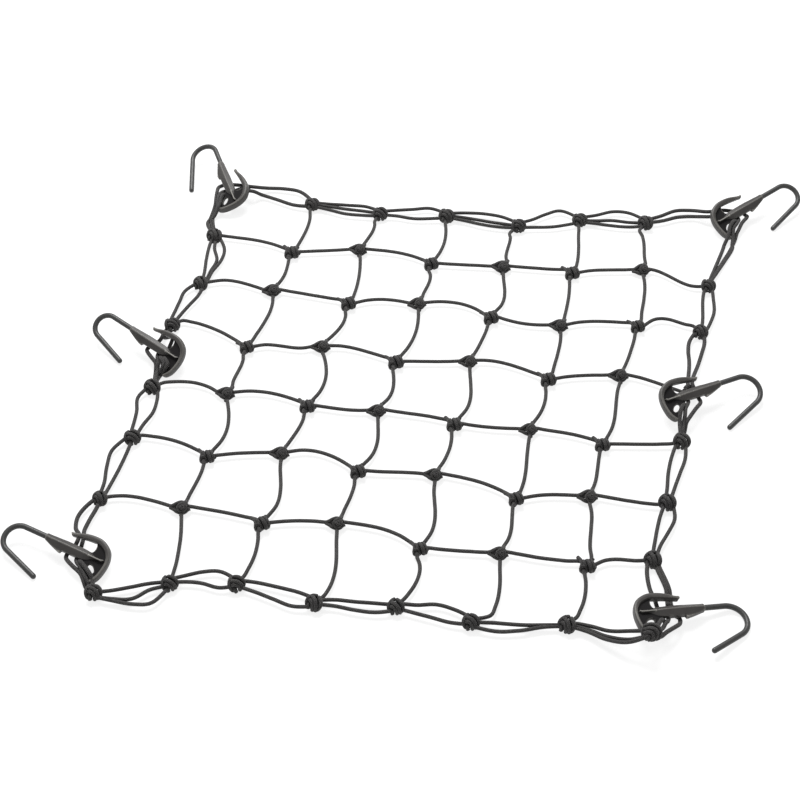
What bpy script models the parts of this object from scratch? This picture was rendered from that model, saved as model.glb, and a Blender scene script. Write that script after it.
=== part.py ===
"""Elastic cargo net lying flat, with six moulded hooks on its border.

The net is one piece of knotted elastic cord. Its knots follow a slightly skewed grid,
each one a few millimetres off its place, as an unloaded elastic net lies. A hook is a
plastic body that the border cords run through, and a coated wire set into its shank.

The tables are in millimetres and degrees. The model is in metres, with +X along the
rows, +Y away from the viewer and +Z up, and the floor at Z = 0.
"""
import math

import bmesh
import bpy
from mathutils import Matrix, Vector

MM = 0.001

# ---------------------------------------------------------------- the net's grid
ROWS = 8
COLUMNS = 8
PITCH_X = 57.3          # between columns
PITCH_Y = 58.0          # between rows
SKEW_X = 5.1            # each row lies this much further left than the one above it
SLOPE_Y = -0.14         # rise of a row from one column to the next
STAGGER = (1.4, -3.7)   # knots whose row + column is even lie this way, the others opposite
GRID_CENTRE = (0.5, -1.0)      # the middle of the knots' grid, as the hooks are placed from it
ORIGIN_SHIFT = (-2.5, -17.8)   # puts the middle of the whole object at X = Y = 0

# How far each knot lies off the grid, (x, y): one line a row from the far side to the
# near one, one entry a column from left to right. None: a hook is there instead.
KNOT_SHIFTS = [
    [None, (3, -11), (1, -7), (1, -9), (1, -5), (-4, 2), (-9, 14), None],
    [(-6, -3), (0, -6), (-1, -2), (-1, -3), (2, -5), (-2, 3), (-1, 8), (-8, 4)],
    [(-2, 6), (1, -1), (3, 0), (3, 1), (2, 1), (2, -7), (2, 8), (-3, 2)],
    [(-7, 7), (-4, -1), (-1, 1), (-2, 0), (-1, 2), (1, -1), (0, 4), (-5, -3)],
    [(-3, 6), (-1, 0), (2, 3), (0, -1), (-1, 1), (0, -3), (-5, -3), (-2, 2)],
    [(2, 4), (1, 1), (-1, 5), (-2, 3), (-1, 1), (0, -6), (-3, -3), (-6, 7)],
    [(-3, 9), (1, 2), (1, 3), (-1, 4), (1, -3), (2, -6), (4, -1), (-5, 4)],
    [(21, -23), (11, 0), (2, -1), (-1, -2), (0, -4), (-8, -2), (3, -2), (-1, -4)],
]

# ---------------------------------------------------------------- cord and knots
CORD_RADIUS = 1.35
CORD_RESOLUTION = 0     # a four-sided section, which keeps the joined net's faces few
FLOOR_LIFT = 1.6        # height of a cord's centre line where it lies on the floor
CORD_LIFT = 4.0         # and where its knots carry it
BOW_SHARES = (0.3, 0.7) # where along its way a bowed cord has its two bends
CLIMB_SHARES = (0.05, 0.2, 0.5)   # how much of a climb is done at 1/4, 1/2 and 3/4 of the way
KNOT_HEIGHT = 4.3       # height of a knot's centre
FREE_KNOT = (KNOT_HEIGHT, 0.0, 0.0)
HELD_KNOTS = {          # knots that touch a hook:
    # height of the centre, height of what it lies on, and how that falls towards the viewer
    (3, 7): (3.2, 0.0, 0.0),      # pressed flat under the shank
    (7, 7): (20.0, 17.2, 1.0),    # against the end of the lobe, where the cord's ends are tied
}
KNOT_SIZES = {          # half sizes of a knot: along the row, across it, upwards
    "band": (5.5, 6.0, 5.1),
    "wing": (6.6, 5.2, 5.1),
    "border": (6.3, 6.3, 5.2),
    "flat": (4.4, 4.4, 3.6),
    "ends": (7.2, 7.4, 5.8),
}
KNOT_SEGMENTS = 6
KNOT_RINGS = 4
UNDERSIDE = -0.5        # the rings of a knot's unit ball that are pressed flat lie below this
RIDGE = 0.16            # how far a knot's diagonal turns stand out, as a share of its size
RIDGE_START = 0.8       # the turns' direction at the knot's middle height, in radians
RIDGE_TWIST = 1.6       # how far the turns go round from there to the top, in radians

# How far each cord bows aside at its middle, in mm.
# Upright cords bow to the right: one line a column (1 to 6), one entry a span downwards.
UPRIGHT_BOWS = [
    [4, 3, 5, 1, 8, 1, 3],
    [2, 5, 4, 8, 2, 6, 4],
    [6, 2, 6, 5, 7, 1, 8],
    [-2, 7, 1, 7, 3, 7, 6],
    [2, 3, 4, 5, 4, 3, 10],
    [1, 4, 1, 2, 2, 2, 4],
]
# Level cords bow away from the viewer: one line a row (1 to 6), one entry a span.
LEVEL_BOWS = [
    [6, 1, 6, 0, 3, 2, 1],
    [7, 2, 5, 10, -3, 6, 11],
    [9, 3, 6, 1, 7, 3, 5],
    [8, 8, -1, 4, 0, 5, -1],
    [7, 2, 10, 1, 6, 4, -3],
    [6, 4, 3, 8, 1, 2, 4],
]

# Where a cord leaves and meets its knots, (x, y) from the knot's centre.
PORT_DOWN = {"band": (-1.0, -3.0), "wing": (1.0, -3.0)}
PORT_UP = (2.0, 3.0)
PORT_RIGHT = (3.0, 1.5)
PORT_LEFT = {"band": (-3.0, 2.0), "wing": (-3.0, 0.0)}
PORT_SHARE = 0.6        # a border strand leaves its knot on the side it bows to,
PORT_REACH = 3.5        # this far off the knot's centre at most

# ---------------------------------------------------------------- border
# Each border stretch runs between two knots, left to right or top to bottom. A strand has
# its offsets from the straight line at 1/4, 1/2 and 3/4 of the way (+ is away from the
# viewer on the level sides, to the right on the upright ones).
BORDER = [
    # start    end      strands: (offset at 1/4, 1/2, 3/4)
    ((0, 1), (0, 2), [(5, 6.5, 7), (-1.5, -2.5, -2)]),
    ((0, 2), (0, 3), [(5.5, 7.5, 9), (-1.5, -4, -3)]),
    ((0, 3), (0, 4), [(7, 9.5, 8), (-2, -4, -4), (1.5, 0.5, 0.5)]),
    ((0, 4), (0, 5), [(6, 11.5, 13), (-3, -4.5, -4)]),
    ((0, 5), (0, 6), [(7, 12.5, 11), (-2.5, -4.5, -5), (1, 1.5, 0.5)]),
    ((1, 0), (2, 0), [(-2.5, -2, -1), (8.5, 9, 5)]),
    ((2, 0), (3, 0), [(-8.5, -6.5, -4.5), (3.5, 2, 1)]),
    ((4, 0), (5, 0), [(-8, -5, -3), (7, 7, 4)]),
    ((5, 0), (6, 0), [(-10, -8, -4), (1.5, 2, 1.5)]),
    ((1, 7), (2, 7), [(-2, -1, 0), (6, 8, 6.5)]),
    ((4, 7), (5, 7), [(-4, -4.5, -3), (5.5, 4, 2.5)]),
    ((5, 7), (6, 7), [(-3, -3, -2), (7.5, 5.5, 2)]),
    ((7, 0), (7, 1), [(0, 1, 2), (-9, -12, -11)]),
    ((7, 1), (7, 2), [(7, 10, 10), (1.5, 0, -3.5)]),
    ((7, 2), (7, 3), [(5, 5.5, 5.5), (-3, -5, -7)]),
    ((7, 3), (7, 4), [(3.5, 2.5, 2), (-2, -4.5, -5.5)]),
    ((7, 4), (7, 5), [(5, 8.5, 7.5), (-2, -3, -4)]),
    ((7, 5), (7, 6), [(-0.5, -1, -1), (-7, -6, -4.5)]),
    ((7, 6), (7, 7), [(2.5, 0.5, 0.5), (-2, -5, -7.5)]),
]

# ---------------------------------------------------------------- hooks
# A hook is drawn in its own plane: u runs from the crown towards the wire, v towards the
# claw, w out of the plane. All six share the body; the wires differ a little in bend.
#   x, y, z      the rib's end on the crown              heading  of u, from +X
#   claw         +1 on the left of u, -1 on its right    roll     claw side up
#   pitch        wire end up                             lead     straight wire at the shank
#   bend, turn   radius and angle of the bend            leg      straight wire to the tip
HOOKS = {
    # name: (x, y, z, heading, claw, roll, pitch, lead, bend, turn, leg)
    "far_left": (-185, 183.5, 10.8, 118, -1, 22.5, 4.5, 17, 11, 161, 32.5),
    "far_right": (212.5, 215.5, 9.9, 43, 1, 24, 5, 19, 10.5, 167, 31.5),
    "mid_left": (-191, -1.5, 11.1, 152, -1, 29, 5.5, 19, 9.5, 166, 31),
    "mid_right": (181.5, 4, 15.1, 33, 1, 20, -2, 16.5, 12, 158, 33),
    "near_left": (-197.5, -199, 8.4, 161.5, -1, 16, 2.5, 18, 10.5, 162, 31.5),
    "near_right": (175.5, -193, 13.3, 20.5, 1, 2, -8.5, 15, 12.5, 155, 28),
}

# The shared body: outlines in the hook's own plane (u, v), rounded between their points.
RIM_OUTER = [(30.5, 9.8), (20, 13.3), (8, 13.9), (-1.8, 9.4), (-6.4, 0.5), (-5.9, -9), (-2.4, -16.4)]
RIM_INNER = [(-0.2, -15.2), (-3.1, -9), (-3.5, -1), (0.6, 6.8), (7, 9.3), (15, 8.7), (28.5, 8.0)]
RIM_HALF_DEPTH = 3.25
WEB_OUTLINE = [
    (9, 10.2), (7.7, 8), (7.5, 5.5), (8.5, 2.8), (14, 0), (14, -4.8), (11.5, -8.5), (7, -12.3),
    (-1, -15.6), (-3.6, -13), (-4.7, -8), (-4.9, -1), (-3.6, 3.4), (-0.6, 8), (4.5, 11.4),
]
WEB_HALF_DEPTH = 1.25
HOLE_CENTRE = (4.6, -8.3)
HOLE_HALF_SIZES = (3.6, 1.8)
HOLE_ANGLE = 37
# Sections of the shank, from the rib's end on the crown to the mouth for the wire.
SHANK = [
    # u, claw edge v, hook edge v, half depth at the ridge, half depth at the edges
    (0.0, 0.5, -0.6, 1.9, 1.0),
    (8.0, 2.4, -3.6, 2.7, 1.5),
    (14.0, 3.0, -4.8, 3.5, 1.9),
    (30.0, 3.1, -5.0, 3.9, 2.1),
    (31.2, 3.1, -6.4, 3.9, 1.8),
    (43.5, 3.1, -3.6, 3.5, 2.0),
    (46.0, 2.8, -3.0, 3.2, 1.9),
]
SHANK_LENGTH = SHANK[-1][0]
RIDGE_LINE = 0.4        # the ridge lies this share of the way from u's axis to mid-section
SOCKET_DEPTH = 9.0
SOCKET_SIDES = 12
WIRE_RADIUS = 1.9
WIRE_RESOLUTION = 2     # an eight-sided section
WIRE_BEND_STEPS = 8
TIP_TAPER = 0.55        # the rounded wire end, as a share of the wire's radius
FIT_GAP = 0.3           # all round the wire in its socket

# The border cords at a hook, in its own (u, v, w). Both pass under the claw and the
# shank; the inner one comes up over the lobe's web, the looped one turns back past the
# notch first. The ways in differ, the way out is shared.
INNER_WAY = [
    (18, -2.2, -5.9), (16.8, -8, -2.6), (13.6, -10.2, 2.3),
    (9, -11, 3.3), (4, -14, 3.3), (1.5, -19, 0.5),
]
LOOP_WAY = [
    (25.7, -4, -5.2), (25.5, -9.5, -1.5), (21, -11.2, 1),
    (15, -13, 2.6), (9, -15.4, 2.8), (5, -20, 0.5),
]
WAY_POINTS = {"near_right": 5}   # the knot lies on this hook's lobe, so its way ends sooner
# hook: knot before, inner way in, loop way in, inner offsets, loop offsets, knot after,
#       offsets after (inner, loop)
HOOKED = {
    "far_left": (
        (0, 1), [(6, 15, -9), (12, 7, -7)], [(13, 16, -9), (19, 7, -7)],
        (-4.5, -3, -1), (11, 10, 6), (1, 0), (-1, -1.5),
    ),
    "far_right": (
        (0, 6), [(-1, 11, -9), (9, 5, -7)], [(5, 14, -9), (15, 8, -7)],
        (2.5, 6, 6), (6.5, 10.5, 8), (1, 7), (-3, 0),
    ),
    "mid_left": (
        (3, 0), [(21, 13, -9), (19.5, 4, -6.2)], [(26, 13, -9), (25.3, 3, -6.2)],
        (0.5, 0.5, 0.5), (-1.5, -1.5, -1), (4, 0), (0, 0),
    ),
    "mid_right": (
        (2, 7), [(22, 13, -9), (19.5, 4, -6.2)], [(27, 14, -9), (25.3, 3, -6.2)],
        (-3.5, -1.5, 1), (4.5, 4, 3), (4, 7), (0, 0),
    ),
    "near_left": (
        (6, 0), [(22, 13, -9), (19.5, 4, -6.2)], [(26.5, 13, -9), (25.3, 3, -6.2)],
        (-1, -3.5, -4.5), (-8, -10.5, -8), (7, 0), (0, 0),
    ),
    "near_right": (
        (6, 7), [(12.5, 15, -9), (14, 6, -6.2)], [(28, 15, -9), (27, 5, -6.2)],
        (-1.5, -1, 0.5), (1.5, 1, 0.5), (7, 7), (0, 0),
    ),
}


# ---------------------------------------------------------------- helpers
def clear_scene():
    for thing in list(bpy.data.objects):
        bpy.data.objects.remove(thing, do_unlink=True)


def new_collection(name):
    collection = bpy.data.collections.new(name)
    bpy.context.scene.collection.children.link(collection)
    return collection


def plain_material(name, colour, roughness):
    material = bpy.data.materials.new(name)
    material.use_nodes = True
    shader = material.node_tree.nodes["Principled BSDF"]
    shader.inputs["Base Color"].default_value = (*colour, 1.0)
    shader.inputs["Roughness"].default_value = roughness
    shader.inputs["Metallic"].default_value = 0.0
    return material


def smooth(points, steps):
    """A Catmull-Rom curve through the points, with this many steps a span."""
    points = [Vector(p) for p in points]
    padded = [points[0] * 2 - points[1]] + points + [points[-1] * 2 - points[-2]]
    curve = []
    for before, start, end, after in zip(padded, padded[1:], padded[2:], padded[3:]):
        for step in range(steps):
            t = step / steps
            curve.append(0.5 * (
                2 * start + (end - before) * t
                + (2 * before - 5 * start + 4 * end - after) * t ** 2
                + (3 * start - before - 3 * end + after) * t ** 3
            ))
    return curve + [points[-1]]


def tube_curve(name, routes, radius, resolution, collection):
    """A curve object with one filled tube for each route, in metres."""
    curve = bpy.data.curves.new(name, "CURVE")
    curve.dimensions = "3D"
    curve.twist_mode = "Z_UP"
    curve.bevel_depth = radius * MM
    curve.bevel_resolution = resolution
    curve.use_fill_caps = True
    for route in routes:
        spline = curve.splines.new("POLY")
        spline.points.add(len(route) - 1)
        for point, place in zip(spline.points, route):
            point.co = (*(Vector(place) * MM), 1.0)
    tube = bpy.data.objects.new(name, curve)
    collection.objects.link(tube)
    return tube


def as_mesh(curve_object, collection):
    """The same shape as a mesh with its caps welded; the curve is removed."""
    graph = bpy.context.evaluated_depsgraph_get()
    mesh = bpy.data.meshes.new_from_object(curve_object.evaluated_get(graph))
    name = curve_object.name
    matrix = curve_object.matrix_world.copy()
    bpy.data.objects.remove(curve_object, do_unlink=True)
    shape = bmesh.new()
    shape.from_mesh(mesh)
    bmesh.ops.remove_doubles(shape, verts=shape.verts, dist=1e-6)
    shape.to_mesh(mesh)
    shape.free()
    solid = bpy.data.objects.new(name, mesh)
    solid.matrix_world = matrix
    collection.objects.link(solid)
    return solid


def add_boolean(target, tool, operation, use_self=False):
    modifier = target.modifiers.new(tool.name, "BOOLEAN")
    modifier.object = tool
    modifier.operation = operation
    modifier.solver = "EXACT"
    modifier.use_self = use_self
    return modifier


# ---------------------------------------------------------------- the net
def knot_kind(row, column):
    """The two ways of tying that take turns over the net, and the bigger border knots."""
    if (row, column) == (3, 7):
        return "flat"
    if (row, column) == (7, 7):
        return "ends"
    if row in (0, ROWS - 1) or column in (0, COLUMNS - 1):
        return "border"
    return "band" if (row + column) % 2 == 0 else "wing"


def knot_places():
    """The centre of every knot, in mm, by row and column."""
    places = {}
    for row, shifts in enumerate(KNOT_SHIFTS):
        for column, shift in enumerate(shifts):
            if shift is None:
                continue
            across = column - (COLUMNS - 1) / 2
            along = (ROWS - 1) / 2 - row
            side = 1 if (row + column) % 2 == 0 else -1
            x = GRID_CENTRE[0] + PITCH_X * across + SKEW_X * along + STAGGER[0] * side + shift[0]
            y = GRID_CENTRE[1] + PITCH_Y * along + SLOPE_Y * across + STAGGER[1] * side + shift[1]
            z = HELD_KNOTS.get((row, column), FREE_KNOT)[0]
            places[row, column] = Vector((x + ORIGIN_SHIFT[0], y + ORIGIN_SHIFT[1], z))
    return places


def add_knot(shape, place, kind, rest, fall):
    """A lumpy ball whose diagonal turns stand out, its underside pressed flat at this height."""
    half_sizes = Vector(KNOT_SIZES[kind])
    ball = bmesh.ops.create_uvsphere(
        shape, u_segments=KNOT_SEGMENTS, v_segments=KNOT_RINGS, radius=1.0)
    lean = -1 if kind == "wing" else 1
    for vertex in ball["verts"]:
        angle = math.atan2(vertex.co.y, vertex.co.x)
        turn = math.cos(2 * angle + lean * RIDGE_TWIST * vertex.co.z + RIDGE_START)
        swell = 1 + RIDGE * turn * (1 - abs(vertex.co.z))
        offset = Vector((vertex.co.x * swell, vertex.co.y * swell, vertex.co.z)) * half_sizes
        spot = place + offset
        if vertex.co.z < UNDERSIDE:
            spot.z = rest + fall * min(offset.y, 0.0)
        vertex.co = spot * MM


def bowed(start, end, bow):
    """The two bends of a cord that bows aside between its knots."""
    points = []
    for share in BOW_SHARES:
        point = start.lerp(end, share) + bow * (4 * share * (1 - share))
        point.z = CORD_LIFT
        points.append(point)
    return points


def inner_cords(knots):
    """Routes of the cords between neighbouring knots inside the net."""
    routes = []
    for column, bows in enumerate(UPRIGHT_BOWS, start=1):
        for row, bow in enumerate(bows):
            top, bottom = knots[row, column], knots[row + 1, column]
            kind = "band" if (row + column) % 2 == 0 else "wing"
            start = top + Vector((*PORT_DOWN[kind], 0))
            end = bottom + Vector((*PORT_UP, 0))
            routes.append([start, *bowed(start, end, Vector((bow, 0, 0))), end])
    for row, bows in enumerate(LEVEL_BOWS, start=1):
        for column, bow in enumerate(bows):
            left, right = knots[row, column], knots[row, column + 1]
            kind = "band" if (row + column + 1) % 2 == 0 else "wing"
            start = left + Vector((*PORT_RIGHT, 0))
            end = right + Vector((*PORT_LEFT[kind], 0))
            routes.append([start, *bowed(start, end, Vector((0, bow, 0))), end])
    return routes


def square_to(start, end):
    """The level direction square to a border stretch: to the right, or away from the viewer."""
    along = end - start
    aside = Vector((-along.y, along.x, 0)).normalized()
    side = aside.x if abs(along.y) > abs(along.x) else aside.y
    return aside if side > 0 else -aside


def port(knot, aside, offset):
    """Where a strand starts inside its knot, on the side that it leaves from."""
    return knot + aside * max(-PORT_REACH, min(PORT_REACH, PORT_SHARE * offset))


def offset_points(start, end, offsets, heights):
    """Points at 1/4, 1/2 and 3/4 of the way, moved square to the line by the offsets."""
    aside = square_to(start, end)
    points = []
    for share, offset, height in zip((0.25, 0.5, 0.75), offsets, heights):
        point = start.lerp(end, share) + aside * offset
        point.z = height
        points.append(point)
    return points


def border_cords(knots):
    """Routes of the border strands that run from knot to knot."""
    routes = []
    for first, last, strands in BORDER:
        start, end = knots[first], knots[last]
        aside = square_to(start, end)
        climb = end.z - start.z
        heights = [CORD_LIFT + climb * share for share in CLIMB_SHARES]
        for offsets in strands:
            points = offset_points(start, end, offsets, heights)
            routes.append([port(start, aside, offsets[0]), *points, port(end, aside, offsets[2])])
    return routes


def hooked_cords(knots, frames):
    """Routes of the border strands that run through a hook between two knots."""
    routes = []
    for name, row in HOOKED.items():
        before, inner_in, loop_in, inner_offsets, loop_offsets, after, offsets_after = row
        kept = WAY_POINTS.get(name, len(INNER_WAY))
        strands = (
            (inner_in + INNER_WAY[:kept], inner_offsets, offsets_after[0]),
            (loop_in + LOOP_WAY[:kept], loop_offsets, offsets_after[1]),
        )
        for way, offsets, offset_after in strands:
            through = [frames[name].cord_point(*place) for place in way]
            entry, leave, end = through[0], through[-1], knots[after]
            start = port(knots[before], square_to(knots[before], entry), offsets[0])
            heights = (CORD_LIFT, CORD_LIFT, (CORD_LIFT + entry.z) / 2)
            points = [start, *offset_points(start, entry, offsets, heights), *through]
            if offset_after:
                height = (leave.z + end.z) / 2
                points.append(offset_points(leave, end, [0, offset_after, 0], [height] * 3)[1])
            routes.append([*points, end])
    return routes


def build_net(frames, parts, cutters):
    knots = knot_places()
    shape = bmesh.new()
    for key, place in knots.items():
        _, rest, fall = HELD_KNOTS.get(key, FREE_KNOT)
        add_knot(shape, place, knot_kind(*key), rest, fall)
    mesh = bpy.data.meshes.new("cargo_net")
    shape.to_mesh(mesh)
    shape.free()
    net = bpy.data.objects.new("cargo_net", mesh)
    parts.objects.link(net)
    routes = inner_cords(knots) + border_cords(knots) + hooked_cords(knots, frames)
    cords = as_mesh(tube_curve("net_cords", routes, CORD_RADIUS, CORD_RESOLUTION, cutters), cutters)
    cords.hide_render = True
    cords.display_type = "WIRE"
    add_boolean(net, cords, "UNION", use_self=True)
    return net


# ---------------------------------------------------------------- hooks
class HookFrame:
    """Where a hook lies: its own u, v and w directions and the rib's end on its crown."""

    def __init__(self, x, y, z, heading, claw, roll, pitch):
        heading, roll, pitch = (math.radians(angle) for angle in (heading, roll, pitch))
        level = Vector((math.cos(heading), math.sin(heading), 0))
        aside = Vector((-level.y, level.x, 0)) * claw
        upward = Vector((0, 0, 1))
        self.u = level * math.cos(pitch) + upward * math.sin(pitch)
        raised = aside * math.cos(roll) + upward * math.sin(roll)
        self.v = (raised - self.u * raised.dot(self.u)).normalized()
        self.w = self.u.cross(self.v)
        self.up_sign = claw
        self.place = Vector((x + ORIGIN_SHIFT[0], y + ORIGIN_SHIFT[1], z))

    def matrix(self):
        turn = Matrix((self.u, self.v, self.w)).transposed().to_4x4()
        return Matrix.Translation(self.place * MM) @ turn

    def cord_point(self, u, v, w):
        """A point of a cord's route, kept off the floor."""
        point = self.place + self.u * u + self.v * v + self.w * w * self.up_sign
        point.z = max(point.z, FLOOR_LIFT)
        return point


def wire_route(lead, bend, turn, leg):
    """The J's centre line in the hook's plane, from inside the socket to the tip."""
    start = SHANK_LENGTH - SOCKET_DEPTH + FIT_GAP
    route = [(start, 0, 0), (SHANK_LENGTH, 0, 0), (SHANK_LENGTH + lead, 0, 0)]
    centre = SHANK_LENGTH + lead
    for step in range(1, WIRE_BEND_STEPS + 1):
        angle = math.radians(turn) * step / WIRE_BEND_STEPS
        route.append((centre + bend * math.sin(angle), bend * math.cos(angle) - bend, 0))
    last = Vector(route[-1])
    along = Vector((math.cos(math.radians(turn)), -math.sin(math.radians(turn)), 0))
    route.append(tuple(last + along * (leg - WIRE_RADIUS)))
    route.append(tuple(last + along * leg))
    return route


def flat_piece(name, outlines, half_depth, collection):
    """A filled 2D outline, with holes where further outlines lie inside the first."""
    curve = bpy.data.curves.new(name, "CURVE")
    curve.dimensions = "2D"
    curve.fill_mode = "BOTH"
    curve.extrude = half_depth * MM
    for outline in outlines:
        spline = curve.splines.new("POLY")
        spline.points.add(len(outline) - 1)
        spline.use_cyclic_u = True
        for point, place in zip(spline.points, outline):
            point.co = (place[0] * MM, place[1] * MM, 0.0, 1.0)
    piece = bpy.data.objects.new(name, curve)
    collection.objects.link(piece)
    return as_mesh(piece, collection)


def oval(centre, half_sizes, angle, count=10):
    turn = math.radians(angle)
    points = []
    for step in range(count):
        around = 2 * math.pi * step / count
        a = half_sizes[0] * math.cos(around)
        b = half_sizes[1] * math.sin(around)
        points.append((
            centre[0] + a * math.cos(turn) - b * math.sin(turn),
            centre[1] + a * math.sin(turn) + b * math.cos(turn),
        ))
    return points


def shank_mesh(name):
    """A six-sided bar lofted through the shank's sections."""
    shape = bmesh.new()
    rings = []
    for u, claw_edge, hook_edge, ridge, edge in SHANK:
        ridge_v = RIDGE_LINE * (claw_edge + hook_edge) / 2
        corners = (
            (claw_edge, edge), (ridge_v, ridge), (hook_edge, edge),
            (hook_edge, -edge), (ridge_v, -ridge), (claw_edge, -edge),
        )
        rings.append([shape.verts.new(Vector((u, v, w)) * MM) for v, w in corners])
    for ring, after in zip(rings, rings[1:]):
        for index in range(6):
            following = (index + 1) % 6
            shape.faces.new((ring[index], ring[following], after[following], after[index]))
    shape.faces.new(list(reversed(rings[0])))
    shape.faces.new(rings[-1])
    bmesh.ops.recalc_face_normals(shape, faces=shape.faces)
    mesh = bpy.data.meshes.new(name)
    shape.to_mesh(mesh)
    shape.free()
    return mesh


def hook_body_mesh(cutters):
    """The shank, crown and web joined into one mesh, in the hook's own frame."""
    body = bpy.data.objects.new("hook_shank", shank_mesh("hook_shank"))
    cutters.objects.link(body)
    rim_outline = [tuple(p) for p in smooth(RIM_OUTER, 2) + smooth(RIM_INNER, 2)]
    rim = flat_piece("hook_rim", [rim_outline], RIM_HALF_DEPTH, cutters)
    hole = oval(HOLE_CENTRE, HOLE_HALF_SIZES, HOLE_ANGLE)
    web = flat_piece("hook_web", [WEB_OUTLINE, hole], WEB_HALF_DEPTH, cutters)
    socket_radius = (WIRE_RADIUS + FIT_GAP) / math.cos(math.pi / SOCKET_SIDES)
    bpy.ops.mesh.primitive_cylinder_add(
        vertices=SOCKET_SIDES, radius=socket_radius * MM, depth=2 * SOCKET_DEPTH * MM,
        location=(SHANK_LENGTH * MM, 0, 0), rotation=(0, math.pi / 2, 0))
    socket = bpy.context.object
    socket.name = "hook_socket"
    for collection in socket.users_collection:
        collection.objects.unlink(socket)
    cutters.objects.link(socket)
    add_boolean(body, rim, "UNION")
    add_boolean(body, web, "UNION")
    add_boolean(body, socket, "DIFFERENCE")
    graph = bpy.context.evaluated_depsgraph_get()
    mesh = bpy.data.meshes.new_from_object(body.evaluated_get(graph))
    for tool in (body, rim, web, socket):
        bpy.data.objects.remove(tool, do_unlink=True)
    return mesh


def build_hooks(frames, parts, cutters, plastic, coating):
    body_mesh = hook_body_mesh(cutters)
    body_mesh.materials.append(plastic)
    for name, frame in frames.items():
        body = bpy.data.objects.new("hook_body_" + name, body_mesh)
        body.matrix_world = frame.matrix()
        parts.objects.link(body)
        route = wire_route(*HOOKS[name][7:])
        wire = tube_curve("hook_wire_" + name, [route], WIRE_RADIUS, WIRE_RESOLUTION, parts)
        wire.data.splines[0].points[-1].radius = TIP_TAPER
        wire.matrix_world = frame.matrix()
        wire.data.materials.append(coating)


def main():
    clear_scene()
    parts = new_collection("elastic cargo net")
    cutters = new_collection("cutters")
    cord_material = plain_material("elastic cord", (0.055, 0.055, 0.053), 0.75)
    plastic = plain_material("moulded plastic", (0.07, 0.068, 0.065), 0.5)
    coating = plain_material("wire coating", (0.05, 0.05, 0.05), 0.35)
    frames = {name: HookFrame(*row[:7]) for name, row in HOOKS.items()}
    net = build_net(frames, parts, cutters)
    net.data.materials.append(cord_material)
    build_hooks(frames, parts, cutters, plastic, coating)


main()
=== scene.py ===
# %% [markdown]
# # A cargo net of knotted elastic cord
#
# The real object is one net of elastic cord, about 400 mm square when nothing pulls on it,
# with six plastic hooks on its border. It lies flat, as it does when it comes out of its bag:
# the meshes are slightly skewed, each cord bows a little, and each hook has slid and turned
# its own way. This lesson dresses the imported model: first the light and the camera, then the
# cord and its knots, then the hooks and their coated wires.

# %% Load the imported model
import math

import bmesh
import bpy
import numpy as np
from mathutils import Euler, Matrix, Vector
from mathutils.bvhtree import BVHTree


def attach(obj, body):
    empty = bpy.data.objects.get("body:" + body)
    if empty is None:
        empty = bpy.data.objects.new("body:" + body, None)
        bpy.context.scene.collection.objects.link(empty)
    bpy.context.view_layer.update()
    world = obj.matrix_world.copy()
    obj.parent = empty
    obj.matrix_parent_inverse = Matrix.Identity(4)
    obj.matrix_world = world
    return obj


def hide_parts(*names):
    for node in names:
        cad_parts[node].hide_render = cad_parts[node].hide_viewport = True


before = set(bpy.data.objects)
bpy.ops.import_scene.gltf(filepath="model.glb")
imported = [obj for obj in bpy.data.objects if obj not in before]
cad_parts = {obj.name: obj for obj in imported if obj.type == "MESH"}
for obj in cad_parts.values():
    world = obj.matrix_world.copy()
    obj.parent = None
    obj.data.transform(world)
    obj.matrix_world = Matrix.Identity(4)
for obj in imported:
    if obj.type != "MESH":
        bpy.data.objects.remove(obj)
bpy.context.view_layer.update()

MM = 0.001
scene = bpy.context.scene

# %% [markdown]
# ## Floor, light and camera
#
# A net is mostly gaps, so the picture is mostly floor: it has to be pale and even. The floor
# is a light table, a white sheet that glows a little, so shadows on it stay faint. One wide
# lamp from above and behind lights the upper side of each cord and wire and leaves the near
# side dark, which is what lets the turns of a knot be told apart. The camera stands where
# the photograph was taken from, with a long lens, about one and a half metres away.

# %% Colours, nodes and objects
def linear(hex_colour):
    """An sRGB hex colour as the linear values that the shaders use."""
    values = [int(hex_colour[i:i + 2], 16) / 255 for i in (1, 3, 5)]
    return (*[v / 12.92 if v <= 0.04045 else ((v + 0.055) / 1.055) ** 2.4 for v in values], 1.0)


def feed(node, inputs):
    """Sets inputs of a node: a socket is linked, anything else is a plain value."""
    for key, value in inputs.items():
        if isinstance(value, bpy.types.NodeSocket):
            node.id_data.links.new(value, node.inputs[key])
        else:
            node.inputs[key].default_value = value


def add_node(tree, kind, inputs=None, out=0, **settings):
    """Adds a node with its settings and inputs, and gives back the output that is used."""
    node = tree.nodes.new(kind)
    for name, value in settings.items():
        setattr(node, name, value)
    feed(node, inputs or {})
    return node.outputs[out] if len(node.outputs) else node


def add_object(name, data):
    thing = bpy.data.objects.new(name, data)
    scene.collection.objects.link(thing)
    return thing


print("the floor's grey, linear:", [round(value, 3) for value in linear("#959595")])

# %% Floor and light
FLOOR_SIZE = 6              # m
FLOOR_GLOW = 0.8
WORLD_STRENGTH = 0.44
SOFTBOX_PLACE = (-0.35, 0.95, 1.6)      # m
SOFTBOX_SIZE = (1.3, 0.8)               # m
SOFTBOX_WATTS = 42
WHITE = linear("#ffffff")


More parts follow.
